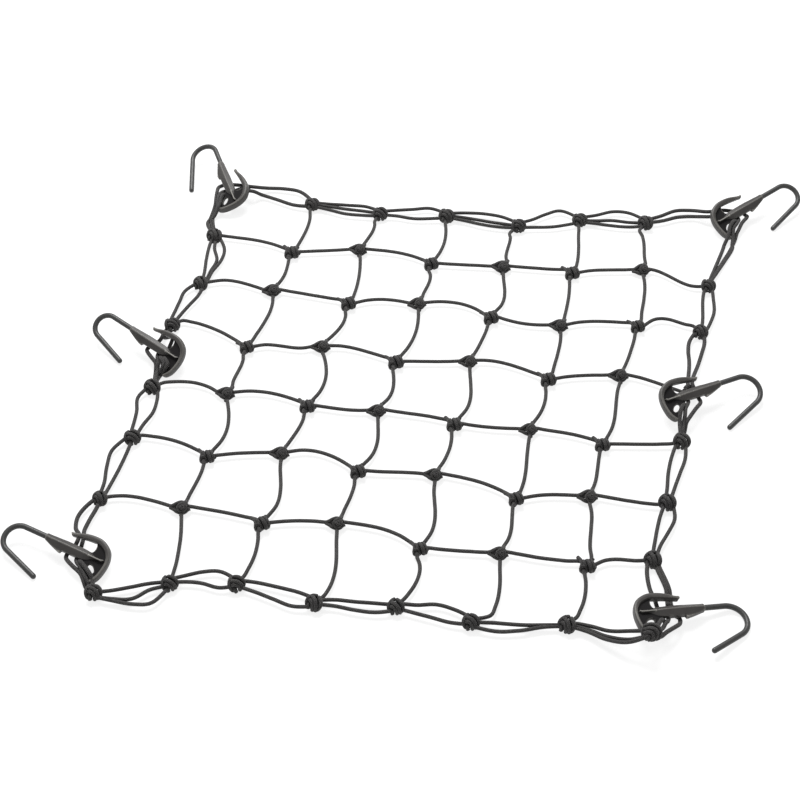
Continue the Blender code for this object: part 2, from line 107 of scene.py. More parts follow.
def make_floor():
    mesh = bpy.data.meshes.new("floor")
    half = FLOOR_SIZE / 2
    corners = [(-half, -half, 0), (half, -half, 0), (half, half, 0), (-half, half, 0)]
    mesh.from_pydata(corners, [], [(0, 1, 2, 3)])
    sheet = bpy.data.materials.new("glowing white sheet")
    sheet.use_nodes = True
    feed(sheet.node_tree.nodes["Principled BSDF"], {
        "Base Color": linear("#959595"), "Roughness": 1, "Specular IOR Level": 0,
        "Emission Color": WHITE, "Emission Strength": FLOOR_GLOW})
    mesh.materials.append(sheet)
    add_object("floor", mesh)


def make_world():
    world = bpy.data.worlds.new("studio")
    world.use_nodes = True
    feed(world.node_tree.nodes["Background"], {"Color": WHITE, "Strength": WORLD_STRENGTH})
    scene.world = world


def make_softbox():
    """A rectangular lamp overhead that looks at the middle of the net."""
    lamp = bpy.data.lights.new("overhead softbox", "AREA")
    lamp.shape = "RECTANGLE"
    lamp.size, lamp.size_y = SOFTBOX_SIZE
    lamp.energy = SOFTBOX_WATTS
    holder = add_object("overhead softbox", lamp)
    holder.location = SOFTBOX_PLACE
    holder.rotation_mode = "QUATERNION"
    holder.rotation_quaternion = (-Vector(SOFTBOX_PLACE)).to_track_quat("-Z", "Y")


make_floor()
make_world()
make_softbox()
scene.view_settings.view_transform = "Standard"
print("floor", FLOOR_SIZE, "m across, world strength", WORLD_STRENGTH)

# %% Camera
ORIGIN_SHIFT = Vector((-2.5, -17.8, 0))     # mm, from the net's own middle, as in the part's source
VIEW_AZIMUTH = 8.28         # degrees, from straight in front towards the right
VIEW_ELEVATION = 47
VIEW_DISTANCE = 1434        # mm
SENSOR_WIDTH = 36           # mm
LENS = 84.96                # mm
SHIFT = (-0.0309, -0.0089)


def view_directions():
    """The camera's right, up and back, as directions in the scene."""
    azimuth, elevation = math.radians(VIEW_AZIMUTH), math.radians(VIEW_ELEVATION)
    right = Vector((math.cos(azimuth), math.sin(azimuth), 0))
    back = Vector((
        math.sin(azimuth) * math.cos(elevation),
        -math.cos(azimuth) * math.cos(elevation), math.sin(elevation)))
    return right, back.cross(right), back


def make_camera():
    lens = bpy.data.cameras.new("camera")
    lens.sensor_width = SENSOR_WIDTH
    lens.lens = LENS
    lens.shift_x, lens.shift_y = SHIFT
    lens.clip_end = 20
    camera = add_object("camera", lens)
    directions = view_directions()
    turn = Matrix(directions).transposed().to_4x4()
    place = directions[2] * VIEW_DISTANCE + ORIGIN_SHIFT
    camera.matrix_world = Matrix.Translation(place * MM) @ turn
    scene.camera = camera


make_camera()
print("camera at", [round(value, 3) for value in scene.camera.matrix_world.translation])

# %% [markdown]
# ## The cord's finish
#
# Elastic cord is a bundle of rubber strands in a braided polyester sleeve. Up close the
# sleeve is a lattice of small slanting stitches; from a step away it is a soft dark grey
# that catches no sharp light. The pattern has to run along each cord and close round it, so
# the cord's mesh carries two attributes: how far along it a point is, and which way round.
# A third one says how deep in a crease between cords a point lies, and the material darkens it there: painted
# shade.

# %% Cord material
BRAID_STRANDS = 8       # each way round the cord, drawn a little coarser than the real sixteen
BRAID_PITCH = 2.2       # mm along the cord from one stitch to the next
BRAID_RELIEF = 0.14     # mm
BLEND = {"data_type": "RGBA", "out": 2}     # for a Mix node that mixes colours


def new_material(name):
    """A material, its node tree, and the object's own coordinates as a socket in it."""
    material = bpy.data.materials.new(name)
    material.use_nodes = True
    tree = material.node_tree
    return material, tree, add_node(tree, "ShaderNodeTexCoord", out="Object")


def braid_height(tree):
    """The height of the braid: 0 in the grooves, 1 on a stitch."""
    around = add_node(tree, "ShaderNodeAttribute", out="Vector", attribute_name="around")
    along = add_node(tree, "ShaderNodeAttribute", out="Fac", attribute_name="along")
    parts = add_node(tree, "ShaderNodeSeparateXYZ", {0: around}).node.outputs
    angle = add_node(tree, "ShaderNodeMath", {0: parts["Y"], 1: parts["X"]}, operation="ARCTAN2")
    turn = add_node(tree, "ShaderNodeMath", {0: angle, 1: BRAID_STRANDS / 2}, operation="MULTIPLY")
    travel = add_node(
        tree, "ShaderNodeMath", {0: along, 1: math.pi / (BRAID_PITCH * MM)}, operation="MULTIPLY")
    waves = {}
    for key, direction in enumerate(("ADD", "SUBTRACT")):
        phase = add_node(tree, "ShaderNodeMath", {0: turn, 1: travel}, operation=direction)
        wave = add_node(tree, "ShaderNodeMath", {0: phase}, operation="SINE")
        waves[key] = add_node(tree, "ShaderNodeMath", {0: wave}, operation="ABSOLUTE")
    return add_node(tree, "ShaderNodeMath", waves, operation="MULTIPLY")


def make_cord_material():
    """Braided polyester: dull, with a faint sheen of fibre ends, lighter where it is handled, and painted
    shade in its grooves and in creases between cords.
    """
    material, tree, place = new_material("braided polyester over rubber")
    height = braid_height(tree)
    patches = add_node(tree, "ShaderNodeTexNoise", {"Vector": place, "Scale": 40, "Detail": 3})
    fibres = add_node(tree, "ShaderNodeTexNoise", {"Vector": place, "Scale": 900, "Detail": 2})
    handled = add_node(
        tree, "ShaderNodeMix", {0: patches, 6: linear("#484548"), 7: linear("#676663")}, **BLEND)
    # painted shade: the grooves between the braid's stitches are painted near black
    grooved = add_node(tree, "ShaderNodeMix", {0: height, 6: linear("#171616"), 7: handled}, **BLEND)
    fuzz = add_node(tree, "ShaderNodeMapRange", {0: fibres, 1: 0.55, 2: 0.75, 3: 0, 4: 0.22})
    flecked = add_node(tree, "ShaderNodeMix", {0: fuzz, 6: grooved, 7: linear("#8a8a86")}, **BLEND)
    # painted shade: cord that other cord hems in, deep in a crease, is darkened towards near black
    crease = add_node(tree, "ShaderNodeAttribute", out="Fac", attribute_name="crease")
    painted_crease_shade = add_node(tree, "ShaderNodeMapRange", {0: crease, 1: 0.08, 2: 0.4, 3: 0, 4: 0.95})
    shaded = add_node(tree, "ShaderNodeMix", {0: painted_crease_shade, 6: flecked, 7: linear("#0b0a0a")}, **BLEND)
    rough = add_node(tree, "ShaderNodeMapRange", {0: patches, 1: 0.3, 2: 0.7, 3: 0.66, 4: 0.82})
    bump = add_node(
        tree, "ShaderNodeBump", {"Strength": 0.8, "Distance": BRAID_RELIEF * MM, "Height": height})
    feed(tree.nodes["Principled BSDF"], {
        "Base Color": shaded, "Roughness": rough, "Normal": bump,
        "Sheen Weight": 0.1, "Sheen Roughness": 0.45, "Specular IOR Level": 0.25})
    return material


cord_finish = make_cord_material()
print("braid:", BRAID_STRANDS, "strands each way, a stitch every", BRAID_PITCH, "mm")

# %% [markdown]
# ## Cords as tubes that follow their routes
#
# A cord is a round tube along a line. One small Geometry Nodes tree does it for every cord
# of the net: it resamples the line, lets it wander a little, because no elastic cord lies
# perfectly smooth, and sweeps a circle along it. It stores the two attributes for the braid
# before the sweep, because after it the line is gone.

# %% Cord tree
CORD_RADIUS = 1.4       # mm
CORD_SIDES = 12


def new_tree(name, sockets):
    """A geometry tree with these inputs, {name: kind}, and one geometry output."""
    tree = bpy.data.node_groups.new(name, "GeometryNodeTree")
    for socket_name, kind in sockets.items():
        tree.interface.new_socket(name=socket_name, in_out="INPUT", socket_type="NodeSocket" + kind)
    tree.interface.new_socket(name="Geometry", in_out="OUTPUT", socket_type="NodeSocketGeometry")
    return tree, add_node(tree, "NodeGroupInput").node.outputs


def end_tree(tree, geometry, finish):
    """Ends a tree with plain geometry in one material, because the export drops instances."""
    plain = add_node(tree, "GeometryNodeRealizeInstances", {0: geometry})
    dressed = add_node(tree, "GeometryNodeSetMaterial", {"Geometry": plain, "Material": finish})
    add_node(tree, "NodeGroupOutput", {0: dressed})
    return tree


def make_cord_tree():
    tree, given = new_tree("cord along its route", {
        "Geometry": "Geometry", "Radius": "Float", "Spacing": "Float", "Sides": "Int",
        "Wander": "Float", "Finish": "Material"})
    line = add_node(
        tree, "GeometryNodeResampleCurve", {"Curve": given["Geometry"], "Length": given["Spacing"]},
        mode="LENGTH")
    place = add_node(tree, "GeometryNodeInputPosition")
    noise = add_node(
        tree, "ShaderNodeTexNoise", {"Vector": place, "Scale": 55, "Detail": 1}, out="Color")
    centred = add_node(tree, "ShaderNodeVectorMath", {0: noise, 1: (0.5, 0.5, 0.5)}, operation="SUBTRACT")
    moved = add_node(
        tree, "ShaderNodeVectorMath", {0: centred, "Scale": given["Wander"]}, operation="SCALE")
    wandering = add_node(tree, "GeometryNodeSetPosition", {"Geometry": line, "Offset": moved})
    length = add_node(tree, "GeometryNodeSplineParameter", out="Length")
    measured = add_node(
        tree, "GeometryNodeStoreNamedAttribute",
        {"Geometry": wandering, "Name": "along", "Value": length}, data_type="FLOAT", domain="POINT")
    circle = add_node(
        tree, "GeometryNodeCurvePrimitiveCircle", {"Resolution": given["Sides"], "Radius": given["Radius"]})
    outward = add_node(tree, "ShaderNodeVectorMath", {0: place}, operation="NORMALIZE")
    marked = add_node(
        tree, "GeometryNodeStoreNamedAttribute", {"Geometry": circle, "Name": "around", "Value": outward},
        data_type="FLOAT_VECTOR", domain="POINT")
    tube = add_node(
        tree, "GeometryNodeCurveToMesh", {"Curve": measured, "Profile Curve": marked, "Fill Caps": True})
    smooth = add_node(tree, "GeometryNodeSetShadeSmooth", {0: tube})
    return end_tree(tree, smooth, given["Finish"])


cord_tree = make_cord_tree()
print("cord tree:", len(cord_tree.nodes), "nodes")

# %% Running a tree
def as_mesh(thing):
    """The object as it looks after its modifiers, as a plain mesh; the object goes."""
    graph = bpy.context.evaluated_depsgraph_get()
    mesh = bpy.data.meshes.new_from_object(thing.evaluated_get(graph))
    bpy.data.objects.remove(thing, do_unlink=True)
    return mesh


def run_tree(thing, tree, values):
    """Runs the tree on the object with these named inputs and gives back a plain mesh."""
    modifier = thing.modifiers.new(tree.name, "NODES")
    modifier.node_group = tree
    for item in tree.interface.items_tree:
        if item.in_out == "INPUT" and item.name in values:
            modifier[item.identifier] = values[item.name]
    return as_mesh(thing)


def add_piece(name, mesh, nodes=()):
    """A finished piece, at the origin, that rides on the net's one body."""
    piece = add_object(name, mesh)
    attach(piece, "root")
    if nodes:
        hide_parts(*nodes)
    print(name, "faces:", len(mesh.polygons))


def smooth_line(points, steps=6):
    """A smooth curve through the points, with this many steps a span."""
    points = [Vector(p) for p in points]
    padded = [points[0] * 2 - points[1]] + points + [points[-1] * 2 - points[-2]]
    line = []
    for before, start, end, after in zip(padded, padded[1:], padded[2:], padded[3:]):
        for step in range(steps):
            t = step / steps
            line.append(0.5 * (
                2 * start + (end - before) * t
                + (2 * before - 5 * start + 4 * end - after) * t ** 2
                + (3 * start - before - 3 * end + after) * t ** 3))
    return line + [points[-1]]


def cord_mesh(name, routes, radius=CORD_RADIUS, sides=CORD_SIDES, spacing=1.4, wander=0.5):
    """All the routes, each a list of points in mm, as round cords in one mesh."""
    curve = bpy.data.curves.new(name, "CURVE")
    curve.dimensions = "3D"
    for route in routes:
        line = smooth_line(route)
        spline = curve.splines.new("POLY")
        spline.points.add(len(line) - 1)
        for point, place in zip(spline.points, line):
            point.co = (*(place * MM), 1)
    return run_tree(add_object(name, curve), cord_tree, {
        "Radius": radius * MM, "Spacing": spacing * MM, "Sides": sides,
        "Wander": wander * MM, "Finish": cord_finish})


# %% Creases between cords
CREASE_REACH = 2.2          # mm: how far a point looks for other cord that shades it
CREASE_START = 0.02         # of the reach: a look starts this far out, clear of its own face
CREASE_SPREAD = 1.2         # how far the slanting looks lean away from straight out


def store(mesh, name, values):
    """Stores one number a vertex under this name, for a material to read."""
    attribute = mesh.attributes.new(name, "FLOAT", "POINT")
    attribute.data.foreach_set("value", np.asarray(values, np.float32))


def mark_creases(mesh):
    """Stores how hemmed in each point is by other cord, for painted shade in creases: 0 in the open, 1 deep
    in a crease.
    """
    reach = CREASE_REACH * MM
    skin = BVHTree.FromPolygons(
        [vertex.co for vertex in mesh.vertices], [tuple(face.vertices) for face in mesh.polygons])
    shades = []
    for vertex in mesh.vertices:
        side = vertex.normal.orthogonal().normalized() * CREASE_SPREAD
        other = vertex.normal.cross(side)
        leans = (Vector(), side, -side, other, -other)
        shade = 0
        for lean in leans:
            ray = (vertex.normal + lean).normalized()
            distance = skin.ray_cast(vertex.co + ray * reach * CREASE_START, ray, reach)[3]
            shade += 0 if distance is None else 1 - distance / reach
        shades.append(shade / len(leans))
    store(mesh, "crease", shades)
    return mesh


print("a point looks", CREASE_REACH, "mm out for other cord")

# %% [markdown]
# ## Where the knots are
#
# The net was tied on a frame with pegs at equal distances, so its knots follow a grid. Off
# the frame the cord pulls itself short: the grid leans a little, neighbouring knots are
# drawn apart by turns, and each knot ends up a few millimetres off its place. So the places
# are worked out from a few sizes, and a short table holds each knot's own shift.

# %% Knot places
ROWS = 8
COLUMNS = 8
PITCH = (57.3, 58)          # mm between columns, and between rows
SKEW_X = 5.1                # mm: each row lies this much further left than the one above it
SLOPE_Y = -0.14             # mm a column
STAGGER = (1.4, -3.7)       # mm: knots whose row + column is even; the others go the opposite way
GRID_CENTRE = (0.5, -1)     # mm
CORD_HEIGHT = 4             # mm, of a cord's centre line where its knots carry it
FLOOR_HEIGHT = 1.6          # mm, of a cord's centre line where it lies on the floor
KNOT_HEIGHT = 4.3           # mm

# (x, y) in mm: one line a row from the far side to the near one, left to right
KNOT_SHIFTS = [
    [None, (3, -11), (1, -7), (1, -9), (1, -5), (-4, 2), (-9, 14), None],
    [(-6, -3), (0, -6), (-1, -2), (-1, -3), (2, -5), (-2, 3), (-1, 8), (-8, 4)],
    [(-2, 6), (1, -1), (3, 0), (3, 1), (2, 1), (2, -7), (2, 8), (-3, 2)],
    [(-7, 7), (-4, -1), (-1, 1), (-2, 0), (-1, 2), (1, -1), (0, 4), (-5, -3)],
    [(-3, 6), (-1, 0), (2, 3), (0, -1), (-1, 1), (0, -3), (-5, -3), (-2, 2)],
    [(2, 4), (1, 1), (-1, 5), (-2, 3), (-1, 1), (0, -6), (-3, -3), (-6, 7)],
    [(-3, 9), (1, 2), (1, 3), (-1, 4), (1, -3), (2, -6), (4, -1), (-5, 4)],
    [(21, -23), (11, 0), (2, -1), (-1, -2), (0, -4), (-8, -2), (3, -2), (-1, -4)],
]
PRESSED_KNOT = (3, 7)       # under a hook's shank
END_KNOT = (7, 7)           # where the cord's two ends are tied, on a hook's lobe
HELD_HEIGHTS = {PRESSED_KNOT: 3.2, END_KNOT: 20}


def knot_kind(row, column):
    if (row, column) == PRESSED_KNOT:
        return "pressed"
    if (row, column) == END_KNOT:
        return "ends"
    if row in (0, ROWS - 1) or column in (0, COLUMNS - 1):
        return "border"
    return "band" if (row + column) % 2 == 0 else "wing"


def knot_places():
    places = {}
    for row, shifts in enumerate(KNOT_SHIFTS):
        for column, shift in enumerate(shifts):
            if shift is None:
                continue
            across = column - (COLUMNS - 1) / 2
            along = (ROWS - 1) / 2 - row
            side = 1 if (row + column) % 2 == 0 else -1
            x = GRID_CENTRE[0] + PITCH[0] * across + SKEW_X * along + STAGGER[0] * side + shift[0]
            y = GRID_CENTRE[1] + PITCH[1] * along + SLOPE_Y * across + STAGGER[1] * side + shift[1]
            height = HELD_HEIGHTS.get((row, column), KNOT_HEIGHT)
            places[row, column] = Vector((x, y, height)) + ORIGIN_SHIFT
    return places


knots = knot_places()
print(len(knots), "knots")

# %% [markdown]
# ## The cords inside the net
#
# Between two knots a slack elastic cord bows to one side, because the braid keeps a little
# of the bend it had in the bag. A cord leaves its knot where the knot's last turn lets it
# go, which differs between the two ways of tying that take turns over the net.

# %% Inner cords
# mm off the straight line, (at a third, at two thirds of the way).
# One line a column (1 to 6), one pair a span downwards, + is to the right
UPRIGHT_BOWS = [
    [(4.5, 3), (1.5, 2), (3.5, 2.5), (1.5, 0), (5, 6), (1, 0.5), (1, 0.5)],
    [(2, 1.5), (2, 2), (4, 3.5), (5.5, 6), (2, 1.5), (3, 5.5), (3, 3.5)],
    [(5.5, 4.5), (3, 1.5), (4, 4.5), (3.5, 4.5), (4, 5.5), (1.5, 1), (3.5, 6)],
    [(-1, -1.5), (3, 5), (1, 1), (3.5, 5.5), (2.5, 2.5), (2, 4.5), (5.5, 5.5)],
    [(3, 2.5), (1, 1), (1.5, 1), (3, 3), (0.5, 1.5), (1.5, 2.5), (5.5, 10)],
    [(0.5, 0), (2, 1), (1, 1), (0.5, 2.5), (0.5, 1), (1, -0.5), (3.5, 4.5)],
]
# One line a row (1 to 6), one pair a span rightwards, + is away from the viewer
LEVEL_BOWS = [
    [(0.5, 2), (0, 0), (2.5, 3), (0, 0), (-0.5, -0.5), (1.5, 0.5), (-0.5, -4.5)],
    [(4, 3), (0, 0), (4, 3.5), (5.5, 6), (-2.5, -2.5), (3, 2), (9.5, 7.5)],
    [(5.5, 4.5), (1.5, -1.5), (3, 2), (0, -0.5), (4, 3), (1.5, 1), (2.5, 3)],
    [(5.5, 5.5), (4.5, 4), (-1, -1.5), (0.5, 1), (-1, -1), (1, 1.5), (-2, -4)],
    [(2.5, 3), (1, 1), (6.5, 6), (0, 0.5), (2.5, 3), (2, 1.5), (-2, -4)],
    [(2.5, 2), (0.5, 0.5), (1.5, 1.5), (3.5, 4.5), (-0.5, -0.5), (-1, -1.5), (2.5, -0.5)],
]
BOW_SHARES = (0.17, 0.33, 0.5, 0.67, 0.83)
# mm from a knot's middle, (right, away), where a cord leaves it or enters it
LEAVES_DOWN = {"band": (-1, -6.5), "wing": (1.3, -4.8), "border": (-3, -9)}
ENTERS_TOP = (2.5, 7)
LEAVES_RIGHT = {"band": (4.8, 2), "wing": (4.8, 2), "border": (7, 4)}
ENTERS_LEFT = {"band": (-5.2, 3.8), "wing": (-6, 0), "border": (-6, 2), "pressed": (-5, 1)}
INSIDE_SHARE = 0.3          # of that way: how far out a cord starts inside its knot
# mm off that place at each border knot: far side, near side, left, right
FAR_SHIFTS = [3, 0, 3.5, -2.5, 3.5, -2]
NEAR_SHIFTS = [-2, 1.5, 2.5, 2, 10, 3]
LEFT_SHIFTS = [-2.5, -0.5, 2.5, 1.5, -0.5, -0.5]
RIGHT_SHIFTS = [-3, 4, 2.5, -5, -4.5, -3]
RIGHTWARDS, AWAY = Vector((1, 0, 0)), Vector((0, 1, 0))


def level(point, height=CORD_HEIGHT):
    return Vector((point.x, point.y, height))


def bow_at(share, third, two_thirds, first, last):
    """The cubic with these values at 0, 1/3, 2/3 and 1."""
    a, b, c, d = share, share - 1 / 3, share - 2 / 3, share - 1
    return (
        -4.5 * b * c * d * first + 13.5 * a * c * d * third
        - 13.5 * a * b * d * two_thirds + 4.5 * a * b * c * last)


def bowed_route(first, leaves, last, enters, bow, shifts, aside):
    """A cord from knot to knot; its bow and its shifts at the two ends lie along aside."""
    out, back = Vector((*leaves, 0)), Vector((*enters, 0))
    start, end = first + out, last + back
    bends = [start.lerp(end, share) + aside * bow_at(share, *bow, *shifts) for share in BOW_SHARES]
    outside = [start + aside * shifts[0], *bends, end + aside * shifts[1]]
    return [first + out * INSIDE_SHARE, *[level(p) for p in outside], last + back * INSIDE_SHARE]


def end_shifts(span, line, first_shifts, last_shifts):
    """The shifts of a span's two ends, which only the first and the last span have."""
    return (
        first_shifts[line - 1] if span == 0 else 0,
        last_shifts[line - 1] if span == ROWS - 2 else 0)


def inner_routes():
    routes = []
    for column, bows in enumerate(UPRIGHT_BOWS, start=1):
        for row, bow in enumerate(bows):
            leaves = LEAVES_DOWN[knot_kind(row, column)]
            shifts = end_shifts(row, column, FAR_SHIFTS, NEAR_SHIFTS)
            routes.append(bowed_route(
                knots[row, column], leaves, knots[row + 1, column], ENTERS_TOP, bow, shifts, RIGHTWARDS))
    for row, bows in enumerate(LEVEL_BOWS, start=1):
        for column, bow in enumerate(bows):
            leaves = LEAVES_RIGHT[knot_kind(row, column)]
            enters = ENTERS_LEFT[knot_kind(row, column + 1)]
            shifts = end_shifts(column, row, LEFT_SHIFTS, RIGHT_SHIFTS)
            routes.append(bowed_route(
                knots[row, column], leaves, knots[row, column + 1], enters, bow, shifts, AWAY))
    return routes


add_piece("net_inner_cords", cord_mesh("net_inner_cords", inner_routes()), ["cargo_net"])

# %% [markdown]
# ## The doubled border
#
# Along the border the cord runs twice or three times from knot to knot, and the strands
# open into long lens-shaped gaps. Each strand is given by how far it lies from the straight
# line between its knots at a quarter, a half and three quarters of the way.

# %% Border strands
# + is away from the viewer on the level sides, to the right on the upright ones
BORDER = {
    # first knot, from which a stretch runs right or down to the next: (mm off at 1/4, 1/2, 3/4)
    (0, 1): [(3.9, 5.4, 7.1), (0.8, 0.5, 1.1), (-3, -5.2, -4.2)],
    (0, 2): [(5.5, 7.5, 9.3), (-1.5, -4, -3.4)],
    (0, 3): [(7.5, 9.5, 8.9), (-2, -3.9, -4), (1.5, 0.7, 0.4)],
    (0, 4): [(6.2, 11.5, 13.8), (-3.1, -4.5, -4)],
    (0, 5): [(7.4, 12.8, 11.6), (-2.9, -4.8, -5.2), (0.5, 1.7, 0.3)],
    (1, 0): [(-2.5, -1.9, -0.6), (2.2, 6.8, 4), (10.4, 10.2, 5.4)],
    (2, 0): [(-8.5, -6.7, -4.6), (3.6, 2.1, 0.9)],
    (4, 0): [(-8.1, -4.8, -3.2), (7, 7.3, 3.8)],
    (5, 0): [(-9.9, -8, -3.9), (1.4, 1.8, 1.3)],
    (1, 7): [(-2.2, -1.1, 0.1), (5.9, 8, 6.5)],
    (4, 7): [(-4.2, -4.4, -2.9), (5.6, 4.2, 2.6)],
    (5, 7): [(-2.9, -2.8, -2.1), (7.5, 5.3, 2.1)],
    (7, 0): [(0, 0.8, 2), (-7.5, -9.2, -3.3), (-9, -13.8, -14.8)],
    (7, 1): [(7.2, 10.3, 10.4), (1.5, 0.1, -3.6)],
    (7, 2): [(5.2, 5.6, 5.6), (-2.8, -4.9, -7)],
    (7, 3): [(3.7, 2.6, 2), (-1.7, -4.6, -5.7)],
    (7, 4): [(4.7, 8.5, 7.5), (-2.2, -3.1, -3.8)],
    (7, 5): [(-0.3, -1.3, -0.9), (-7.2, -6.2, -2.5)],
    (7, 6): [(3, 1.5, 2.4), (-0.4, -3.4, -5), (-2, -5.9, -7.5)],
}
QUARTERS = (0.25, 0.5, 0.75)
PORT_SHARE = 0.6            # a strand leaves its knot on the side it bows to,
PORT_REACH = 3.5            # this many mm off the knot's centre at most
CLIMB_SHARES = (0.05, 0.2, 0.5)         # of the climb to a raised knot, at the quarters


def square_to(start, end):
    """The level direction square to a stretch: to the right, or away from the viewer."""
    along = end - start
    aside = Vector((-along.y, along.x, 0)).normalized()
    side = aside.x if abs(along.y) > abs(along.x) else aside.y
    return aside if side > 0 else -aside


def port(knot, aside, offset):
    return knot + aside * max(-PORT_REACH, min(PORT_REACH, PORT_SHARE * offset))


def offset_points(start, end, offsets, heights):
    aside = square_to(start, end)
    return [
        level(start.lerp(end, share) + aside * offset, height)
        for share, offset, height in zip(QUARTERS, offsets, heights)]


def border_routes():
    routes = []
    for (row, column), strands in BORDER.items():
        following = (row, column + 1) if row in (0, ROWS - 1) else (row + 1, column)
        start, end = knots[row, column], knots[following]
        aside = square_to(start, end)
        heights = [CORD_HEIGHT + (end.z - start.z) * share for share in CLIMB_SHARES]
        for offsets in strands:
            points = offset_points(start, end, offsets, heights)
            routes.append([port(start, aside, offsets[0]), *points, port(end, aside, offsets[2])])
    return routes


add_piece("net_border_cords", mark_creases(cord_mesh("net_border_cords", border_routes())))

# %% [markdown]
# ## Where the hooks are
#
# A hook is flat, so it is drawn in its own plane: u runs from the crown to the wire, v
# towards the claw, and w out of the plane. The pose turns that plane to the way it lies.

# %% Hook poses
# x, y, z: the rib's end on the crown, in mm; angles in degrees; claw: +1 on the left of u;
# then the wire: straight lead, bend radius and leg in mm, and the bend's turn in degrees
HOOKS = {
    # name: (x, y, z, heading, claw, roll, pitch, lead, bend, turn, leg)
    "far_left": (-185, 183.5, 10.8, 118, -1, 22.5, 4.5, 16, 11, 161, 34),
    "far_right": (212.5, 215.5, 9.9, 43, 1, 24, 5, 19, 10.5, 167, 32.5),
    "mid_left": (-191, -1.5, 11.1, 152, -1, 29, 5.5, 19, 9.5, 166, 31),
    "mid_right": (181.5, 4, 15.1, 33, 1, 20, -2, 16.5, 12, 158, 34),
    "near_left": (-197.5, -199, 8.4, 161.5, -1, 16, 2.5, 18, 10.5, 162, 31.5),
    "near_right": (175.5, -193, 13.3, 20.5, 1, 2, -8.5, 15, 12.5, 155, 28),
}
UPWARD = Vector((0, 0, 1))


class HookPose:
    """Where a hook lies: its u, v and w directions and the rib's end on its crown."""

    def __init__(self, x, y, z, heading, claw, roll, pitch):
        heading, roll, pitch = (math.radians(angle) for angle in (heading, roll, pitch))
        flat = Vector((math.cos(heading), math.sin(heading), 0))
        aside = Vector((-flat.y, flat.x, 0)) * claw
        self.u = flat * math.cos(pitch) + UPWARD * math.sin(pitch)
        raised = aside * math.cos(roll) + UPWARD * math.sin(roll)
        self.v = (raised - self.u * raised.dot(self.u)).normalized()
        self.w = self.u.cross(self.v)
        self.claw = claw
        self.place = Vector((x, y, z)) + ORIGIN_SHIFT

    def matrix(self):
        """From the hook's own mm to the scene's metres."""
        turn = Matrix((self.u, self.v, self.w)).transposed().to_4x4()
        return Matrix.Scale(MM, 4) @ Matrix.Translation(self.place) @ turn

    def cord_point(self, u, v, w):
        point = self.place + self.u * u + self.v * v + self.w * w * self.claw
        point.z = max(point.z, FLOOR_HEIGHT)
        return point


poses = {name: HookPose(*row[:7]) for name, row in HOOKS.items()}
print("hooks:", ", ".join(poses))

# %% [markdown]
# ## The border cords at a hook
#
# The border strands pass under the claw and the shank. One comes straight up over the
# lobe's thin web. The other goes on past the notch, turns back round it and joins the
# first, and its far end comes out between the two, so three strands run on to the next knot.

# %% Cords through the hooks
# Each hook's border: where it runs in under the hook, (x, y) in mm, the knot that it comes
# from, and the knot that it runs on to
PASSAGES = {
    "far_left": ((-180.5, 203.5), (0, 1), (1, 0)),
    "far_right": ((206.5, 229), (0, 6), (1, 7)),
    "mid_left": ((-210, 20.5), (3, 0), (4, 0)),
    "mid_right": ((203, 45.5), (2, 7), (4, 7)),
    "near_left": ((-219, -180), (6, 0), (7, 0)),
    "near_right": ((189, -172.5), (6, 7), (7, 7)),
}
